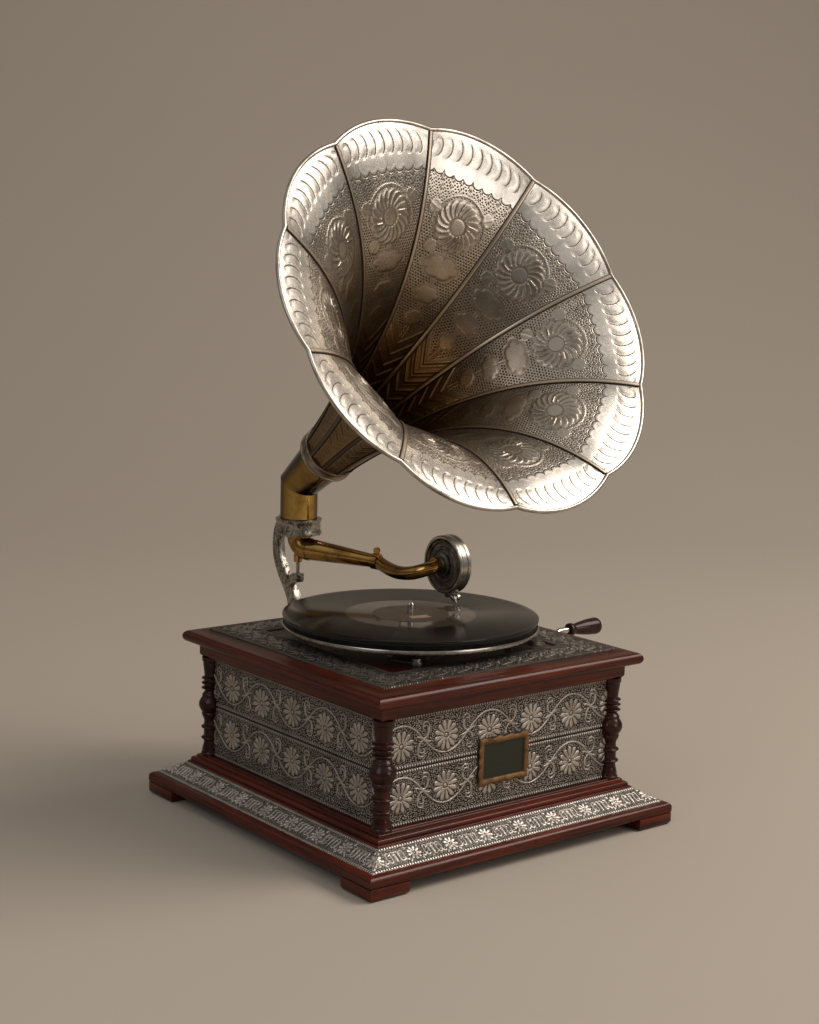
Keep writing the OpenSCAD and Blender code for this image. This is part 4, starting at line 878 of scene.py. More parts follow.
def medallion_chain(x, y, height, busy):
    """Adds three lobed medallions, joined by double lines."""
    for cy, wide, tall, lobes in MEDALLIONS:
        body, away = medallion(x, y, cy, wide, tall, lobes)
        height = np.maximum(height, body)
        busy = busy | (away < 1.12)
    stem = (y > ROSETTE_Y + 25) & (y < CHEVRONS_FROM)
    lines = 0.35 * ridge(np.abs(x) - 1.7, 0.55)
    return np.maximum(height, lines * stem * ~busy), busy | (stem & (np.abs(x) < 2.6))


def chevrons(x, y, slant, half):
    """Height of the chevrons towards the throat, whose points face the tail."""
    share = saw((slant - CHEVRONS_FROM) / CHEVRON_PITCH)
    height = 0.75 * ridge((share - 0.5) * CHEVRON_PITCH, 1.3) + 0.25 * share
    fade = ease(CHEVRONS_FROM - 2, CHEVRONS_FROM + 2, slant) * (1 - ease(CHEVRONS_TO - 10, CHEVRONS_TO, y))
    return height * fade * (np.abs(x) < half - 1)


def zigzag(x, y, half):
    """Height of the zigzag on the tail."""
    fold = np.abs((y / 7.0) - np.round(y / 7.0)) * 2
    line = ridge(np.abs(x) - fold * np.maximum(half - 3, 0.5), 0.7)
    return 0.5 * line * ease(CHEVRONS_TO, CHEVRONS_TO + 4, y)


def crescent_scoops(x, y):
    """Shallow scoops of the crescent cuts along the rim. Their sharp lines come with the material."""
    cell = (x / CRESCENT_PITCH + 0.5) % 1 - 0.5
    away = np.hypot(cell * CRESCENT_PITCH - CRESCENT_SHIFT, y - CRESCENT_Y) - CRESCENT_R
    inside = np.clip(1 + away / CRESCENT_SCOOP, 0, 1) * (away < 0)
    return inside * (1 - ease(6.5, CRESCENT_END, np.abs(y - CRESCENT_Y)))


def petal_relief(x, y, half):
    """Height of the ornament on a petal, its punched ground, its row of crescents and its scalloped line.
    x is across, y the distance from the rim and half the half width."""
    line = scalloped_line(x, y, half)
    # The line is a groove with a low swell on the side of the rim
    scallop = 0.12 * ridge(line + 1.8, 1.4) - 0.25 * ridge(line, 1.0)
    height, busy = rosette(x, y, ROSETTE_Y)
    height, busy = medallion_chain(x, y, np.where(busy, height, height + scallop), busy)
    slant = y + 1.25 * np.abs(x)
    height = height + chevrons(x, y, slant, half) + zigzag(x, y, half)
    in_row = (np.abs(x) < half - 2.5) & (y < 23)
    height = height * ease(23, 25, y) - 0.3 * crescent_scoops(x, y) * in_row
    edge_fade = 1 - ease(half - 2.4, half - 0.6, np.abs(x))
    height = height * edge_fade * ease(1.5, 4.0, y)
    punched = ((line > 1.2) & ~busy & (slant < CHEVRONS_FROM)).astype(float) * edge_fade
    return height, punched, in_row.astype(float), line


def make_petals():
    """The ten petals, each an embossed sheet between two seams."""
    shares, lengths = horn_lengths()
    total = lengths[-1]
    for k in range(PETALS):
        sheet = Sheet(f"horn_petal_{k + 1:02d}", across=78, along=270)
        # More rows near the rim, where the ornament is finest
        rows = sheet.v * (1.32 - 0.32 * sheet.v)
        q = np.interp(rows * total, lengths, shares)
        across = 1 - 2 * sheet.u
        middle = SEAM_TURN + 2 * math.pi / PETALS * (k + 0.5)
        _, base = horn_wall(q, across, middle, 0)
        half = base * math.pi / PETALS - SEAM_W / 2
        x, y = across * half, (1 - rows) * total
        height, punched, cuts, line = petal_relief(x, y, half)
        points, _ = horn_wall(q, across, middle, 0.15 - relief() * height)
        sheet.lay(points)
        # The first rows of pits follow the scallops
        follow = ease(SCALLOP_Y - 7, SCALLOP_Y - 2, y) * (1 - ease(SCALLOP_Y + 10, SCALLOP_Y + 45, y))
        sheet.pattern(x, y - (y - SCALLOP_Y - line) * follow)
        # Tarnish begins at the scalloped line and deepens towards the throat
        aged = 0.26 + 0.74 * np.clip((y - SCALLOP_Y) / 190, 0, 1) ** 0.75
        sheet.mark_age(height, punched, cuts, aged * ease(-0.4, 0.8, line))
        sheet.mark("scallop", line)
        sheet.thicken(0.8)
        finish_piece(sheet.piece, "horn", "horn", "horn_petals", angle=60)


def welt_outline(half_w, sides):
    """Outline of a welt, as place across and depth in the wall: a flat roll inside and outside."""
    outline = []
    for i in range(sides):
        a = 2 * math.pi * i / sides
        bulge = abs(math.sin(a)) ** 0.6
        outline.append((half_w * math.cos(a), -1.5 * bulge if math.sin(a) < 0 else PETAL_T + 0.7 * bulge))
    return np.array(outline)


def make_seams():
    """Welts between the petals, light along the middle and dark where they meet the sheet."""
    steps, sides, half_w = 110, 16, 2.6
    table = welt_outline(half_w, sides)
    for k in range(PETALS):
        sheet = Sheet(f"horn_seam_{k + 1:02d}", across=sides, along=steps)
        q = sheet.v * (1.2 - 0.2 * sheet.v)
        along, radius, da, dr = horn_at(q)
        position = sheet.u * sides
        low = np.floor(position).astype(int) % sides
        part = saw(position)[:, None]
        across, depth = (table[low] * (1 - part) + table[(low + 1) % sides] * part).T
        middle = SEAM_TURN + 2 * math.pi / PETALS * k
        flat = np.stack([radius + depth * da, across, along - lean(radius, middle) - depth * dr], -1)
        sheet.lay(horn_place(turned_about(flat, middle)))
        edges = 0.95 * ease(0.5 * half_w, 0.75 * half_w, np.abs(across))
        sheet.mark("hollow", np.maximum(edges, 0.65 * (depth > PETAL_T / 2)))
        sheet.mark("aged", 0.1 + 0.8 * (1 - q))
        close_tube(sheet.piece)
        finish_piece(sheet.piece, "horn", "welt", "horn_seams", angle=50)


def close_tube(piece, caps=True):
    """Joins the long edges of a rolled-up grid and closes its ends."""
    alone(piece)
    edit("SELECT")
    bpy.ops.mesh.remove_doubles(threshold=1e-6)
    if caps:
        bpy.ops.mesh.select_all(action="DESELECT")
        bpy.ops.mesh.select_mode(type="EDGE")
        bpy.ops.mesh.select_non_manifold()
        bpy.ops.mesh.fill_holes(sides=0)
        bpy.ops.mesh.select_all(action="SELECT")
    bpy.ops.mesh.normals_make_consistent(inside=False)
    bpy.ops.object.mode_set(mode="OBJECT")


def make_rim():
    """Wire that the petals' edge is rolled round."""
    sheet = Sheet("horn_rim", across=12, along=PETALS * 40)
    turn = sheet.v * 2 * math.pi
    across = -1 + 2 * saw(turn / (2 * math.pi) * PETALS)
    along, radius, da, dr = horn_at(np.ones_like(turn))
    base = radius + LOBE * (1 - across ** 2)
    out = WIRE_R - 0.2
    roll = sheet.u * 2 * math.pi
    r = base + out * dr + PETAL_T / 2 * da + WIRE_R * np.cos(roll)
    z = along - lean(base, SEAM_TURN + turn) + out * da - PETAL_T / 2 * dr + WIRE_R * np.sin(roll)
    sheet.lay(ringed(r, SEAM_TURN + turn, z))
    close_tube(sheet.piece, caps=False)
    finish_piece(sheet.piece, "horn", "wire", "horn_rim_wire", angle=80)


def make_tail_ring():
    """Band between elbow and petals, with rolled edges and a raised middle."""
    inner, outer, roll, length = 26.7, 29.9, 1.3, RING_TO - RING_FROM
    body = outer - 0.6
    raised = outer - 0.2

    def rolled_edge(centre):
        return arc(outer - 0.5, centre, 1.4, roll, -75, 75, 10)

    outline = [(inner, 0), (body, 0)] + rolled_edge(roll)
    outline += [(body, 3.0), (raised, 4.2), (raised, length - 4.2), (body, length - 3.0)]
    outline += rolled_edge(length - roll) + [(body, length), (inner, length)]
    piece = stacked("horn_tail_band", outline, sides=96, ring=True)
    lift = Matrix.Translation((0, 0, RING_FROM * MM))
    piece.data.transform(Matrix.Translation((0, PIVOT_Y * MM, MITRE_Z * MM)) @ HORN_TURN @ lift)
    finish_piece(piece, "horn", "tail_silver", "horn_tail_ring", angle=50)


# Cabinet

# Turns of the four sides
SIDES = (("front", 0), ("right", math.pi / 2), ("back", math.pi), ("left", -math.pi / 2))
# Where the first flower of each wall stands
FIRST_FLOWER = {"front": -122.5, "right": -104.0, "back": -104.0, "left": -101.5}
# The flat parts of the walls' sheets, for the front plate, the crank's plate and the bracket behind
PLATE_HALF_W = 31
PLATE_HALF_H = 22.5
PLATE_Z = 88
CRANK_R = 17.3
BRACKET_HALF_W = 22.3
BRACKET_Z = (65.7, 134.3)


def turned_about(points, angle):
    return points @ np.array(Matrix.Rotation(angle, 3, "Z")).T


def tendril(x0, y0, way, up, size):
    """Points of a tendril that leaves (x0, y0) sideways, turns up and hooks back over itself."""
    bends = ((85, 0.40), (6, 2.2), (100, 0.24), (110, 0.15))
    points = [(x0, y0)]
    heading, px, py = 0.0, 0.0, 0.0
    for turn, radius in bends:
        steps = max(2, int(turn / 14))
        for _ in range(steps):
            heading += math.radians(turn / steps)
            stride = math.radians(turn / steps) * radius * size
            px += stride * math.cos(heading)
            py += stride * math.sin(heading)
            points.append((x0 + way * px, y0 + up * py))
    return points


def vine(x, y, first, pitch, rise, base, count, flip):
    """Height of a vine that winds past flowers, with tendrils and short leaves at each crossing."""
    xs = np.linspace(first - 0.5 * pitch, first + (count - 0.5) * pitch, count * 16 + 1)
    phase = (xs - first) / pitch
    ys = base - flip * rise * np.cos(math.pi * phase) * (1 - 0.12 * np.cos(math.pi * phase) ** 2)
    height = stroke(x, y, np.stack([xs, ys], -1), 0.8, 0.8, 0.8)
    for i in range(-1, count):
        cx = first + (i + 0.5) * pitch
        # Tendrils take the two quarters that the vine leaves free
        side = -flip * (1 if i % 2 == 0 else -1)
        for up in (1, -1):
            for size, thick in ((18.0, 0.7), (13.8, 0.6)):
                path = tendril(cx, base + 0.8 * up, side * up, up, size)
                height = np.maximum(height, stroke(x, y, path, thick, 0.6, 0.7))
            way = side * up
            leaf = [(cx, base), (cx - 6.5 * way, base + 3.0 * up), (cx - 8.5 * way, base + 2.4 * up)]
            height = np.maximum(height, stroke(x, y, leaf, 1.0, 0.6, 0.7))
        height = np.maximum(height, 0.8 * dome(np.hypot(x - cx, y - base), 1.8))
    return height


def bead_lines(height, along, away_from, places):
    """Clears a strip at each place and lays a row of beads there. The material darkens the gaps."""
    beaded = np.zeros_like(height)
    row = 0.3 + 0.7 * np.sqrt(np.abs(np.sin(math.pi * along / BEAD)))
    for place in places:
        away = np.abs(away_from - place)
        height = np.where(away < 1.8, 0.95 * dome(away, 1.3) * row, height)
        beaded = np.maximum(beaded, (away < 1.5).astype(float))
    return height, beaded


def panel_relief(x, z, first, flip):
    """Ornament of one wall: two strips with flowers and a vine, beaded borders and a groove between."""
    pitch, radius = 52.3, 14.2
    rows = (PANEL_Z[0] + 29.2, PANEL_Z[0] + 77.0)
    split = PANEL_Z[0] + 52.2
    height = np.zeros_like(x)
    for base, shift in zip(rows, (0.6, 0.0)):
        start = first + shift
        # Flowers and vines run past both ends, as the sheet was cut from a longer strip
        band = vine(x, z, start - pitch, pitch, 17.8, base, 8, -flip)
        height = np.maximum(height, band)
        for i in range(-1, 7):
            cx = start + i * pitch
            # A flower hangs lower where the vine passes over it
            cz = base - (3.2 if (i % 2 == 0) == (flip < 0) else 0)
            away = np.hypot(x - cx, z - cz)
            height = np.where(away < radius + 0.9, daisy(x, z, cx, cz, radius, 12, 0.5 + 0.1 * i), height)
    lines = (PANEL_Z[0] + 1.8, split - 2.2, split + 2.2, PANEL_Z[1] - 1.8)
    height, beaded = bead_lines(height, x, z, lines)
    height = height - 0.9 * ridge(z - split, 0.8)
    ground = (height < 0.12) & (beaded == 0) & (np.abs(z - split) > 2)
    return height, ground.astype(float), beaded


def plain_part(side, x, z):
    """Where a wall's sheet is pressed flat: under the plate, round the crank and behind the bracket."""
    if side == "front":
        return (np.abs(x) < PLATE_HALF_W) & (np.abs(z - PLATE_Z) < PLATE_HALF_H)
    if side == "right":
        return np.hypot(x - CRANK_Y, z - CRANK_Z) < CRANK_R
    if side == "back":
        return (np.abs(x) < BRACKET_HALF_W) & (z > BRACKET_Z[0]) & (z < BRACKET_Z[1])
    return np.zeros(len(x), dtype=bool)


def make_panels():
    """Embossed sheets on the four walls."""
    for side, angle in SIDES:
        sheet = Sheet(f"{side}_panel", across=400, along=162)
        x = (sheet.u - 0.5) * 2 * PANEL_HALF
        z = PANEL_Z[0] + sheet.v * (PANEL_Z[1] - PANEL_Z[0])
        height, ground, beaded = panel_relief(x, z, FIRST_FLOWER[side], -1 if side == "front" else 1)
        plain = plain_part(side, x, z)
        height = np.where(plain, -0.5, height)
        if side == "front":
            ground = np.where(plain, 0, ground)
        sheet.lay(turned_about(np.stack([x, -(SHEET_Y + relief() * height), z], -1), angle))
        sheet.pattern(x, z)
        sheet.mark_age(height, ground, beaded)
        flatten_back(sheet, turned_about(np.array([[0, 1.0, 0]]), angle)[0], SHEET_Y - 0.95, angle)
        finish_piece(sheet.piece, "cabinet", "panel", f"{side}_cladding", angle=60)


def flatten_back(sheet, shift, depth, angle):
    """Closes a wall sheet with a flat back at depth from the middle of the cabinet."""
    count = len(sheet.piece.data.vertices)
    sheet.back(shift)
    local = turned_about(read_places(sheet.piece.data) / MM, -angle)
    local[count:, 1] = -depth
    sheet.lay(turned_about(local, angle))


def slope_scrolls(x, y, cx, middle):
    """Height of the thin S scrolls and leaves on both sides of a flower."""
    height = np.zeros_like(x)
    for way in (1, -1):
        for shift in (11.4, 16.6):
            for up in (1, -1):
                start = cx + way * shift
                path = [(start, middle)]
                path += curl(start, middle + 3.4 * up, 2.7, math.radians(90 * up), -way * 4.9, steps=14)
                height = np.maximum(height, stroke(x, y, path, 0.75, 0.5, 0.8))
        for up in (1, -1):
            leaf = [(cx + way * 6.0, middle + up * 6.0), (cx + way * 7.6, middle + up * 8.6)]
            height = np.maximum(height, stroke(x, y, leaf, 1.2, 0.6, 0.7))
    return height


def slope_relief(x, y, width):
    """Ornament of the base's slope: flowers and pairs of S scrolls between beaded edges."""
    height = np.zeros_like(x)
    middle = width / 2
    pitch, radius = 42.0, 7.8
    for i in range(-4, 5):
        cx = i * pitch
        height = np.maximum(height, slope_scrolls(x, y, cx, middle))
        away = np.hypot(x - cx, y - middle)
        height = np.where(away < radius + 0.8, daisy(x, y, cx, middle, radius, 9, 0.25), height)
        # A bud stands where the scrolls of two flowers meet
        bud = ((x - cx - pitch / 2) / 1.3) ** 2 + ((y - middle) / 6.5) ** 2
        height = np.maximum(height, 0.7 * np.sqrt(np.clip(1 - bud, 0, 1)))
    height, beaded = bead_lines(height, x, y, (1.7, width - 1.7))
    ground = (height < 0.12) & (beaded == 0)
    return height, ground.astype(float), beaded


def make_slopes():
    """Embossed sheets on the sloping sides of the base."""
    half_out, z_out = SLOPE_HIGH[0], SLOPE_LOW[2] + 1
    rise = SLOPE_HIGH[2] - z_out
    width = math.hypot(SLOPE_RUN, rise)
    normal = np.array([0, -rise / width, SLOPE_RUN / width])
    for side, angle in SIDES:
        sheet = Sheet(f"{side}_slope", across=520, along=38)
        y = sheet.v * width
        half = half_out - sheet.v * SLOPE_RUN
        x = (sheet.u - 0.5) * 2 * half
        height, ground, beaded = slope_relief(x, y, width)
        fade = ease(0, 1.6, half - np.abs(x))
        base = np.stack([x, -half, z_out + sheet.v * rise], -1)
        lift = 0.05 + relief() * 0.85 * height * fade
        sheet.lay(turned_about(base + lift[:, None] * normal, angle))
        sheet.pattern(x, y)
        sheet.mark_age(height, ground, beaded)
        sheet.back(turned_about(np.array([[0, 0, -0.9]]), angle)[0])
        finish_piece(sheet.piece, "cabinet", "slope", "base_cladding", angle=60)


def border_scrolls(x, y, cx, middle):
    """Height of the scrolls and leaves round a flower."""
    height = np.zeros_like(x)
    for way in (1, -1):
        for up in (1, -1):
            hand = way * up
            path = curl(cx + way * 9, middle + 3 * up, 5.6, math.radians(80 * up), -hand * 4.4, steps=16)
            height = np.maximum(height, stroke(x, y, path, 0.9, 0.6, 0.85))
            path = curl(cx + way * 13.5, middle + 2 * up, 6.6, math.radians(75 * up), hand * 3.6, steps=14)
            height = np.maximum(height, stroke(x, y, path, 0.9, 0.6, 0.8))
            leaf = [(cx + way * 3.5, middle + 9 * up), (cx + way * 7.5, middle + 14 * up)]
            height = np.maximum(height, stroke(x, y, leaf, 1.7, 0.7, 0.85))
    return height


def border_relief(x, y, width):
    """Ornament of the top border: a dense trail of flowers, leaves and scrolls inside a rope edge."""
    height = np.zeros_like(x)
    middle = width / 2 - 1
    pitch, radius = 27.0, 7.2
    for i in range(-6, 7):
        cx = i * pitch
        height = np.maximum(height, border_scrolls(x, y, cx, middle))
        away = np.hypot(x - cx, y - middle)
        height = np.where(away < radius + 0.7, daisy(x, y, cx, middle, radius, 12, 0.3), height)
    rope = 1.3
    for line in (1.6, width - 1.6):
        twist = np.abs(((x + (y - line) * 1.1) / 2.6) % 1 - 0.5) * 2
        height = np.where(np.abs(y - line) < rope + 0.6, 0, height)
        height = np.maximum(height, 0.7 * dome(y - line, rope) * (0.55 + 0.45 * twist))
    roped = (y < 3.2) | (y > width - 3.2)
    ground = (height < 0.12) & ~roped
    return height, ground.astype(float), roped.astype(float)


def make_border():
    """Embossed sheets on the top board, round the motor board."""
    width = BORDER_OUT - BORDER_IN
    for side, angle in SIDES:
        sheet = Sheet(f"{side}_border", across=360, along=52)
        y = sheet.v * width
        half = BORDER_OUT - y
        x = (sheet.u - 0.5) * 2 * half
        height, ground, roped = border_relief(x, y, width)
        fade = ease(0, 1.2, half - np.abs(x))
        z = BOARD_TOP + 0.9 + relief() * 0.9 * height * fade
        sheet.lay(turned_about(np.stack([x, -half, z], -1), angle))
        sheet.pattern(x, y)
        sheet.mark_age(height, ground, roped)
        count = len(sheet.piece.data.vertices)
        sheet.back((0, 0, -0.9))
        for vertex in sheet.piece.data.vertices[count:]:
            vertex.co.z = (BOARD_TOP + 0.02) * MM
        finish_piece(sheet.piece, "cabinet", "border", "top_cladding", angle=60)


def arc(cx, cz, rx, rz, start, end, steps=8):
    """Points of an arc in a moulding's outline."""
    return [
        (cx + rx * math.cos(math.radians(a)), cz + rz * math.sin(math.radians(a)))
        for a in np.linspace(start, end, steps + 1)
    ]


def moulding(name, outline, node, ring=True):
    """A mitred wooden moulding round the cabinet."""
    finish_piece(stacked(name, outline, sides=4, ring=ring), "cabinet", "mahogany", node)


def base_outline(slope_x):
    """Base board: a square lower edge, a half round and the slope under the embossed sheets."""
    low, high = corners("base_board")
    out, bottom = high[0], low[2]
    edge, round_h = 6.1, 4.6
    outline = [(out - 1, bottom), (out, bottom + 1)]
    outline += arc(slope_x, bottom + edge, out - slope_x, round_h, 0, 90)
    return outline + [(slope_x - 1, bottom + edge + round_h - 1.0), (slope_x - SLOPE_RUN, SLOPE_HIGH[2] - 1)]


def step_outline(out):
    """Step above the base: a fillet, a roll under the ledge and a bead on it."""
    inner, bottom = 117.7, corners("step_moulding")[0][2]
    step_x = out - 6.7
    ledge = bottom + 9.6
    roll = 3.1
    outline = [(out, bottom), (out, bottom + 1.6)] + arc(out - 1.2, bottom + 1.8, 1.2, 0.9, 0, 90, 4)
    outline += [(step_x + 2.6, bottom + 3.0)]
    outline += arc(step_x + 1.4, ledge - 2.4 - roll, roll, roll, -50, 90, 9)
    outline += [(step_x, ledge - 1.9), (step_x, ledge - 0.3), (step_x - 0.3, ledge), (step_x - 2.4, ledge)]
    return outline + arc(step_x - 4.0, ledge, 1.5, 1.4, 0, 180, 8) + [(inner, ledge), (inner, bottom)]


def frieze_outline():
    """Frieze under the top board, rounded below."""
    low, high = corners("frieze_moulding")
    half, inner, bend = high[0], 127.7, 3.5
    outline = [(inner, low[2]), (half - bend, low[2])]
    outline += arc(half - bend, low[2] + bend, bend, bend, -90, 0, 6)
    return outline + [(half, high[2]), (inner, high[2])]


def top_outline():
    """Top board: a round nosing, and a ledge inside for the motor board."""
    low, high = corners("top_board")
    half, bottom, top = high[0], low[2], high[2]
    nose = 6.0
    shoulder = top - 2.4
    turn = half - nose
    outline = [(95.0, bottom), (152.4, bottom), (half - 8, bottom + 0.5), (half - 3.4, bottom + 2.0)]
    outline += arc(turn, shoulder - nose, nose, nose, -55, 84, 14)
    # The upper side falls in a shallow hollow from the metal border to the nosing's shoulder
    outline += [(turn - 3.5, shoulder + 0.25), (turn - 7, shoulder + 1.0), (turn - 10.5, shoulder + 2.0)]
    return outline + [(turn - 12, top), (103.3, top), (103.3, top - 8), (95.0, top - 8)]


def make_mouldings():
    """Base board, step, frieze, top board and feet, with smooth mitred mouldings."""
    slope_x = corners("base_board")[1][0] - 7.0
    moulding("base_moulding", base_outline(slope_x), "base_board", ring=False)
    moulding("step_ring", step_outline(slope_x - SLOPE_RUN), "step_moulding")
    moulding("frieze_ring", frieze_outline(), "frieze_moulding")
    moulding("top_ring", top_outline(), "top_board")
    refined("feet", "mahogany", bevel=0.8)


def column_outline(h, ring, belly, neck):
    """Outline of a turned column, from the bottom up."""
    def turned(shape, z0, z1, r0, r1, steps=8):
        shares = [i / steps for i in range(steps + 1)]
        return [(r0 + (r1 - r0) * shape(t), h * (z0 + (z1 - z0) * t)) for t in shares]

    def swell(*sizes):
        return turned(lambda t: math.sin(math.pi * t), *sizes)

    def taper(*sizes):
        return turned(lambda t: (1 - math.cos(math.pi * t)) / 2, *sizes)

    outline = [(ring - 0.4, 0.0), (ring, 0.6), (ring, 0.03 * h - 0.5), (ring - 0.5, 0.03 * h)]
    outline += taper(0.05, 0.15, ring - 1, neck + 0.6)
    outline += swell(0.16, 0.20, neck + 0.8, ring) + [(neck + 0.8, 0.22 * h)]
    outline += swell(0.27, 0.31, neck + 0.8, ring) + [(neck + 0.4, 0.34 * h)]
    outline += taper(0.35, 0.43, neck + 0.4, ring - 0.4)
    outline += swell(0.44, 0.60, ring - 1, belly, 14)
    outline += taper(0.61, 0.66, ring - 0.6, neck)
    outline += swell(0.67, 0.70, neck + 0.6, ring)
    outline += swell(0.72, 0.75, neck + 0.9, ring)
    outline += swell(0.77, 0.80, neck + 0.9, ring)
    outline += taper(0.81, 0.95, neck + 0.6, ring - 1.4)
    return outline + [(ring - 0.4, 0.96 * h), (ring - 0.4, h)]


def make_columns():
    """Turned columns in the corners of the cabinet."""
    low, high = corners("corner_columns")
    centre = high[0] - 12.6
    outline = column_outline(high[2] - low[2], 10.0, 12.6, 6.6)
    places = [(x, y) for x in (-centre, centre) for y in (-centre, centre)]
    for count, (x, y) in enumerate(places, 1):
        place = Matrix.Translation((x * MM, y * MM, low[2] * MM))
        piece = stacked(f"column_{count}", outline, sides=40, place=place)
        finish_piece(piece, "cabinet", "turned", "corner_columns", angle=32)


def make_front_plate():
    """Stamped brass frame with a wavy edge round a bare field of dark enamel."""
    low, high = corners("front_plate")
    cz = (low[2] + high[2]) / 2 + 1.8
    half_w, half_h = high[0] + 1.3, (high[2] - low[2]) / 2 + 1.3
    back = -high[1]
    waves, swing, border = 14, 0.9, 5.2
    sheet = Sheet("plate_frame", across=128, along=24)
    # u goes once round the frame and v runs from the field outwards
    turn = sheet.u * 2 * math.pi
    box = 1 / np.maximum(np.abs(np.cos(turn)), np.abs(np.sin(turn)))
    unit_x, unit_z = np.cos(turn) * box, np.sin(turn) * box
    edge = border - swing + swing * np.cos(turn * waves) * sheet.v
    x = unit_x * (half_w - 6.0) + np.clip(unit_x, -1, 1) * edge * sheet.v
    z = unit_z * (half_h - 6.0) + np.clip(unit_z, -1, 1) * edge * sheet.v
    roll = np.sin(math.pi * np.clip(sheet.v, 0, 1)) ** 0.6
    height = 1.6 + 1.0 * roll + 0.25 * np.cos(turn * waves) * sheet.v
    height = np.where(sheet.v < 0.02, 0.9, height)
    sheet.lay(np.stack([x, -(back + height), z + cz], -1))
    sheet.thicken(0.8)
    close_tube(sheet.piece, caps=False)
    finish_piece(sheet.piece, "cabinet", "plate_brass", "front_plate", angle=50)
    field = Sheet("plate_field", across=8, along=8)
    x = (field.u - 0.5) * 2 * (half_w - 5.4)
    z = (field.v - 0.5) * 2 * (half_h - 5.4)
    field.lay(np.stack([x, np.full_like(x, -(back + 1.2)), z + cz], -1))
    field.thicken(1.0)
    finish_piece(field.piece, "cabinet", "enamel", angle=30, slot="aged_brass")


# Turntable, tone arm, crank and small parts

def second_finish(piece, kind, chosen):
    """Gives another material to the faces whose middle, in millimetres, is chosen."""
    piece.data.materials.append(material(kind))
    for face in piece.data.polygons:
        if chosen(face.center / MM):
            face.material_index = 1


def make_scrap():
    """Torn scrap of bare paper beside the spindle."""
    alone()
    bpy.ops.mesh.primitive_plane_add(size=1, location=(0, 0, 0))
    piece = named("label_scrap")
    spots = [(-13.5, -20.5), (7.5, -24.5), (9.0, -13.0), (-11.0, -10.5)]
    vertices = sorted(piece.data.vertices, key=lambda vertex: math.atan2(vertex.co.y, vertex.co.x))
    for vertex, spot in zip(vertices, spots):
        vertex.co = Vector((*spot, RECORD_TOP + 0.25)) * MM
    apply_modifier(piece, "SOLIDIFY", thickness=0.1 * MM, offset=-1)
    finish_piece(piece, "turntable", "patch", slot="label_paper")


def make_turntable():
    """Platter with a grooved rim, and what lies on it."""
    low, high = corners("platter")
    r, bottom, top = high[0], low[2], high[2]
    rim = corners("felt_mat")[0][2] - 8.2
    hole, groove = 3.56, r - 2.0
    outline = [(hole, bottom), (13, bottom), (13, top - 4), (15.5, top - 2), (r - 2.2, top - 2)]
    outline += [(r - 2.2, rim + 1), (r - 1.2, rim), (r - 0.4, rim + 0.4), (r, rim + 1.4), (r, rim + 2.8)]
    outline += [(r - 0.5, rim + 3.9), (groove, rim + 4.2), (groove, top - 1.2)]
    outline += [(r - 1.6, top - 0.9), (r - 1.6, top), (hole, top)]
    piece = stacked("platter_disc", outline, sides=128, ring=True)
    finish_piece(piece, "turntable", "nickel", "platter", angle=40)
    # The upper rim under the record's edge gets the dark metal, which paints the shade there
    second_finish(piece, "painted_shade_rim", lambda at: at.z > rim + 3.9 and math.hypot(at.x, at.y) > groove - 0.6)
    refined("record", "shellac", bevel=0.4, angle=40)
    refined("record_label", "label", angle=40)
    refined("felt_mat", "felt", angle=40)
    refined("spindle", "bright", angle=40)
    make_scrap()


def make_arms():
    """Elbow, tone arm, gooseneck and the bracket behind."""
    refined("horn_elbow", "brass", angle=40)
    refined("tone_arm", "dark_brass", angle=40)
    refined("gooseneck", "dark_brass", angle=50)
    make_sound_box()
    refined("back_bracket", "engraved", bevel=0.8, angle=40)


def make_sound_box():
    """Sound box with a stepped back and a ridged bright rim."""
    low, high = corners("soundbox_bezel")
    r = (high[2] - low[2]) / 2
    cy, cz = (low[1] + high[1]) / 2, (low[2] + high[2]) / 2
    back = high[0] - 15
    neck = corners("soundbox_case")[0][0] - back
    place = Matrix.Translation((back * MM, cy * MM, cz * MM)) @ Matrix.Rotation(math.pi / 2, 4, "Y")
    outline = [(4.6, neck), (8.6, neck), (9.0, neck + 0.4), (9.0, -2.6), (12.5, -1.4), (12.5, 1.2)]
    outline += [(15.0, 1.9), (16.0, 0.9), (17.5, 0.7), (18.6, 2.0), (22.0, 2.3), (23.0, 1.1), (24.4, 0.9)]
    outline += [(25.4, 2.2), (r - 3.6, 1.6), (r - 3.2, 0.2), (r - 1.4, 0.0), (r - 0.3, 0.8), (r - 0.3, 3.0)]
    outline += [(r - 0.7, 3.3), (r - 0.7, 3.7), (r - 0.3, 4.0), (r - 0.3, 9.2), (r - 0.7, 9.5)]
    outline += [(r - 5.8, 9.5), (4.6, 3.2)]
    piece = stacked("soundbox_shell", outline, sides=96, ring=True, place=place)
    finish_piece(piece, "gooseneck", "dull_nickel", "soundbox_case")
    second_finish(piece, "nickel", lambda at: math.hypot(at.y - cy, at.z - cz) > r - 3.4)
    outline = [(r - 6, 9.7), (r - 0.6, 9.7), (r, 10.2), (r, 13.4), (r - 1.4, 15), (r - 5, 15), (r - 6, 13.6)]
    piece = stacked("soundbox_ring", outline, sides=96, ring=True, place=place)
    finish_piece(piece, "gooseneck", "nickel", "soundbox_bezel")
    refined("needle_bar", "nickel", bevel=0.2)
    refined("needle_screw", "bright", bevel=0.2)
    refined("needle", "steel")


def make_crank():
    """Crank with its grip and plate, and the levers on the motor board."""
    refined("crank_grip", "grip_wood", angle=50)
    refined("crank_arm", "bright", angle=50)
    refined("crank_escutcheon", "dark_brass", bevel=0.4)
    refined("brake_lever", "dull_nickel", bevel=0.3)
    refined("brake_pad", "leather", bevel=0.3)
    refined("speed_lever", "dull_nickel", bevel=0.3)


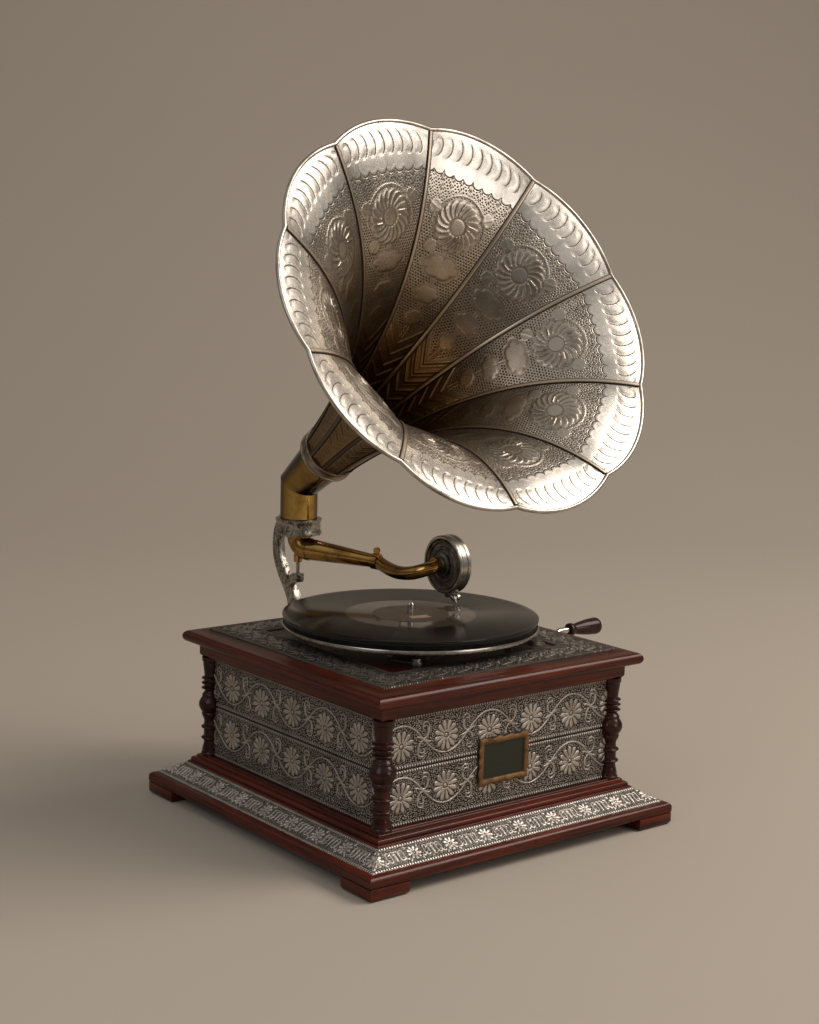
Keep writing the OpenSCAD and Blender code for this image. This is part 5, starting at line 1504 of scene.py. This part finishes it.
def finish_frame_nodes():
    """Materials of the CAD nodes that are shown as they are."""
    kinds = {
        # shadow_wood paints the shade seen in the gaps between the sheets and the columns
        "shadow_wood": ("front_wall", "back_wall", "left_wall", "right_wall", "corner_posts"),
        "deck_wood": ("motor_board",),
        "steel": (
            "motor_top_plate", "motor_bottom_plate", "motor_pillars", "pivot_pin", "governor_shaft",
            "crank_shaft",
        ),
        "nickel": ("motor_bolts", "bracket_screws"),
        "fibre": ("governor_wheel",),
        "gear_brass": (
            "spring_barrel", "winding_wheel", "intermediate_gear", "governor_weights", "governor_disc",
        ),
        "spring_steel": ("mainspring", "governor_springs"),
        "mica": ("diaphragm",),
    }
    for kind, nodes in kinds.items():
        for node in nodes:
            mesh = frame["nodes"][node].data
            mesh.materials.clear()
            mesh.materials.append(material(kind))


# Stage

# The photograph's view: turn, height angle and roll of the camera, and its place in metres
AZIMUTH, ELEVATION, ROLL = (math.radians(a) for a in (-38.79, 8.70, 1.48))
CAMERA_PLACE = (-1.0639, -1.3177, 0.5607)
# In millimetres
LENS = 61.35
SENSOR = 36
# Name, place, aim, size, power and colour
LAMPS = (
    ("key_lamp", (1.5, -1.2, 2.2), (0.0, 0.0, 0.4), 1.8, 44, "#fff5ec"),
    ("side_lamp", (-2.2, -0.6, 1.6), (0.0, 0.0, 0.25), 1.4, 6, "#f3f4ff"),
    ("front_lamp", (0.9, -2.6, 1.0), (0.0, 0.0, 0.3), 1.4, 10, "#fff8f2"),
    ("backdrop_lamp", (1.3, 1.2, 3.2), (2.6, 3.2, 2.6), 1.6, 8, "#fff6ee"),
)


def make_floor(colour):
    """Pale floor that sweeps up into a backdrop."""
    sheet = Sheet("studio_sweep", across=8, along=60)
    # In metres: width, floor in front of and behind the object, radius of the bend and height above it
    width, front, reach, bend, rise = 14.0, 5.0, 1.6, 2.4, 5.0
    # v runs along the floor from the front, round the bend and up the backdrop
    arc_len = bend * math.pi / 2
    run = sheet.v * (front + reach + arc_len + rise) - front
    turn = np.clip((run - reach) / bend, 0, math.pi / 2)
    away = np.where(run < reach, run, reach + bend * np.sin(turn))
    up = np.where(run < reach, 0, bend * (1 - np.cos(turn)) + np.clip(run - reach - arc_len, 0, None))
    flat = np.stack([(sheet.u - 0.5) * width, away, up], -1)
    sheet.lay(turned_about(flat, AZIMUTH) / MM)
    floor = sheet.piece
    alone(floor)
    bpy.ops.object.shade_smooth()
    paper = Finish("studio_paper")
    cloud = paper.noise(paper.place(), 1.5, 2.0)
    tone = paper.blend(cloud, colour, opaque(colour, 0.97))
    floor.data.materials.append(paper.done(Base_Color=tone, Roughness=0.95))


def make_air():
    """Light from all round, brighter above than at the level of the object, as in a white room."""
    world = bpy.data.worlds.new("studio_air")
    bpy.context.scene.world = world
    world.use_nodes = True
    tree = world.node_tree
    tree.nodes.clear()
    direction = add_node(tree, "ShaderNodeTexCoord").outputs["Generated"]
    height = add_node(tree, "ShaderNodeSeparateXYZ", {0: direction}).outputs[2]
    inputs = {0: height, 1: 0.0, 2: 0.8, 3: 0.09, 4: 0.45}
    strength = add_node(tree, "ShaderNodeMapRange", inputs, interpolation_type="SMOOTHSTEP").outputs[0]
    air = add_node(tree, "ShaderNodeBackground", {"Color": opaque("#f6f1ec"), "Strength": strength})
    add_node(tree, "ShaderNodeOutputWorld", {"Surface": air.outputs[0]})


def make_lamps():
    """Soft round lamps."""
    for name, place, aim, size, power, colour in LAMPS:
        data = bpy.data.lights.new(name, "AREA")
        data.shape = "DISK"
        data.size = size
        data.energy = power
        data.color = srgb(colour)
        lamp = bpy.data.objects.new(name, data)
        lamp.location = place
        lamp.rotation_euler = (Vector(aim) - Vector(place)).to_track_quat("-Z", "Y").to_euler()
        bpy.context.scene.collection.objects.link(lamp)


def make_camera():
    """Camera at the photograph's angle."""
    level = math.cos(ELEVATION)
    back = Vector((math.sin(AZIMUTH) * level, -math.cos(AZIMUTH) * level, math.sin(ELEVATION)))
    right = (-back).cross(Vector((0, 0, 1))).normalized()
    up = right.cross(-back)
    tilted_right = right * math.cos(ROLL) + up * math.sin(ROLL)
    tilted_up = up * math.cos(ROLL) - right * math.sin(ROLL)
    data = bpy.data.cameras.new("photo_camera")
    data.sensor_width = SENSOR
    data.sensor_fit = "AUTO"
    data.lens = LENS
    camera = bpy.data.objects.new("photo_camera", data)
    turn = Matrix((tilted_right, tilted_up, back)).transposed().to_4x4()
    camera.matrix_world = Matrix.Translation(CAMERA_PLACE) @ turn
    bpy.context.scene.collection.objects.link(camera)
    bpy.context.scene.camera = camera
    bpy.context.scene.view_settings.view_transform = "Standard"


# Add-on: settings, operators and panel

def colour_setting(name, description, code):
    return bpy.props.FloatVectorProperty(
        name=name, description=description, subtype="COLOR", size=3, default=srgb(code), min=0, max=1
    )


class GramophoneSizes(bpy.types.PropertyGroup):
    """Sizes of the ornament that may be changed"""
    relief: bpy.props.FloatProperty(
        name="Relief", description="How strongly the ornament stands out, as a share of its full height",
        default=1.0, min=0, max=1.5
    )


class GramophoneColours(bpy.types.PropertyGroup):
    """Colours of the main finishes"""
    wood_dark: colour_setting("Dark wood", "Darker streaks of the mahogany", "#1f0803")
    wood_light: colour_setting("Light wood", "Lighter streaks of the mahogany", "#6e270f")
    horn: colour_setting("Horn metal", "Rubbed parts of the horn", "#e3dcd1")
    panel: colour_setting("Panel metal", "Rubbed parts of the embossed sheets", "#c8bfb5")
    floor: colour_setting("Floor", "Studio floor and backdrop", "#beb3a4")


FINISHES = {}


def material(kind):
    """A material by the name of its finish. All are made at the first call."""
    if not FINISHES:
        FINISHES.update(make_finishes(bpy.context.scene.gramophone_colours))
    return FINISHES[kind]


def relief():
    """How strongly the ornament stands out."""
    return bpy.context.scene.gramophone_sizes.relief


class GRAMOPHONE_OT_stage(bpy.types.Operator):
    """Floor, lamps and camera"""
    bl_idname = "gramophone.stage"
    bl_label = "Stage"

    def execute(self, context):
        make_floor(context.scene.gramophone_colours.floor)
        make_air()
        make_lamps()
        make_camera()
        return {"FINISHED"}


class GRAMOPHONE_OT_frame_finishes(bpy.types.Operator):
    """Finishes of the walls, the motor and other parts that keep their CAD shape"""
    bl_idname = "gramophone.frame_finishes"
    bl_label = "Frame finishes"

    def execute(self, context):
        finish_frame_nodes()
        return {"FINISHED"}


class GRAMOPHONE_OT_mouldings(bpy.types.Operator):
    """Base board, step, frieze, top board and feet"""
    bl_idname = "gramophone.mouldings"
    bl_label = "Mouldings"

    def execute(self, context):
        make_mouldings()
        return {"FINISHED"}


class GRAMOPHONE_OT_columns(bpy.types.Operator):
    """Turned corner columns"""
    bl_idname = "gramophone.columns"
    bl_label = "Columns"

    def execute(self, context):
        make_columns()
        return {"FINISHED"}


class GRAMOPHONE_OT_panels(bpy.types.Operator):
    """Embossed sheets on the four walls"""
    bl_idname = "gramophone.panels"
    bl_label = "Wall panels"

    def execute(self, context):
        make_panels()
        return {"FINISHED"}


class GRAMOPHONE_OT_slopes(bpy.types.Operator):
    """Embossed sheets on the sloping base"""
    bl_idname = "gramophone.slopes"
    bl_label = "Base slopes"

    def execute(self, context):
        make_slopes()
        return {"FINISHED"}


class GRAMOPHONE_OT_border(bpy.types.Operator):
    """Embossed border on the top board"""
    bl_idname = "gramophone.border"
    bl_label = "Top border"

    def execute(self, context):
        make_border()
        return {"FINISHED"}


class GRAMOPHONE_OT_plate(bpy.types.Operator):
    """Brass plate on the front, with a bare field"""
    bl_idname = "gramophone.plate"
    bl_label = "Front plate"

    def execute(self, context):
        make_front_plate()
        return {"FINISHED"}


class GRAMOPHONE_OT_horn(bpy.types.Operator):
    """Embossed petals, seams, rolled rim and tail band of the horn"""
    bl_idname = "gramophone.horn"
    bl_label = "Horn"

    def execute(self, context):
        make_petals()
        make_seams()
        make_rim()
        make_tail_ring()
        return {"FINISHED"}


class GRAMOPHONE_OT_arms(bpy.types.Operator):
    """Brass elbow, tone arm, gooseneck and sound box, and the bracket"""
    bl_idname = "gramophone.arms"
    bl_label = "Arms and sound box"

    def execute(self, context):
        make_arms()
        return {"FINISHED"}


class GRAMOPHONE_OT_turntable(bpy.types.Operator):
    """Platter, felt, record, label and spindle"""
    bl_idname = "gramophone.turntable"
    bl_label = "Turntable"

    def execute(self, context):
        make_turntable()
        return {"FINISHED"}


class GRAMOPHONE_OT_crank(bpy.types.Operator):
    """Crank, its grip and plate, and the levers on the motor board"""
    bl_idname = "gramophone.crank"
    bl_label = "Crank and levers"

    def execute(self, context):
        make_crank()
        return {"FINISHED"}


STEPS = (
    GRAMOPHONE_OT_stage, GRAMOPHONE_OT_frame_finishes, GRAMOPHONE_OT_mouldings, GRAMOPHONE_OT_columns,
    GRAMOPHONE_OT_panels, GRAMOPHONE_OT_slopes, GRAMOPHONE_OT_border, GRAMOPHONE_OT_plate,
    GRAMOPHONE_OT_horn, GRAMOPHONE_OT_arms, GRAMOPHONE_OT_turntable, GRAMOPHONE_OT_crank,
)


class GRAMOPHONE_PT_tools(bpy.types.Panel):
    """Lists the settings and the steps that build the gramophone"""
    bl_idname = "GRAMOPHONE_PT_tools"
    bl_label = "Table Gramophone"
    bl_space_type = "VIEW_3D"
    bl_region_type = "UI"
    bl_category = "Gramophone"

    def draw(self, context):
        column = self.layout.column()
        for group in (context.scene.gramophone_sizes, context.scene.gramophone_colours):
            for name in group.__annotations__:
                column.prop(group, name)
        for step in STEPS:
            column.operator(step.bl_idname)


CLASSES = (GramophoneSizes, GramophoneColours, *STEPS, GRAMOPHONE_PT_tools)


def register():
    for item in CLASSES:
        bpy.utils.register_class(item)
    bpy.types.Scene.gramophone_sizes = bpy.props.PointerProperty(type=GramophoneSizes)
    bpy.types.Scene.gramophone_colours = bpy.props.PointerProperty(type=GramophoneColours)


def unregister():
    del bpy.types.Scene.gramophone_sizes
    del bpy.types.Scene.gramophone_colours
    for item in reversed(CLASSES):
        bpy.utils.unregister_class(item)


def main():
    register()
    for step in STEPS:
        group, name = step.bl_idname.split(".")
        getattr(getattr(bpy.ops, group), name)()


if __name__ == "__main__":
    main()
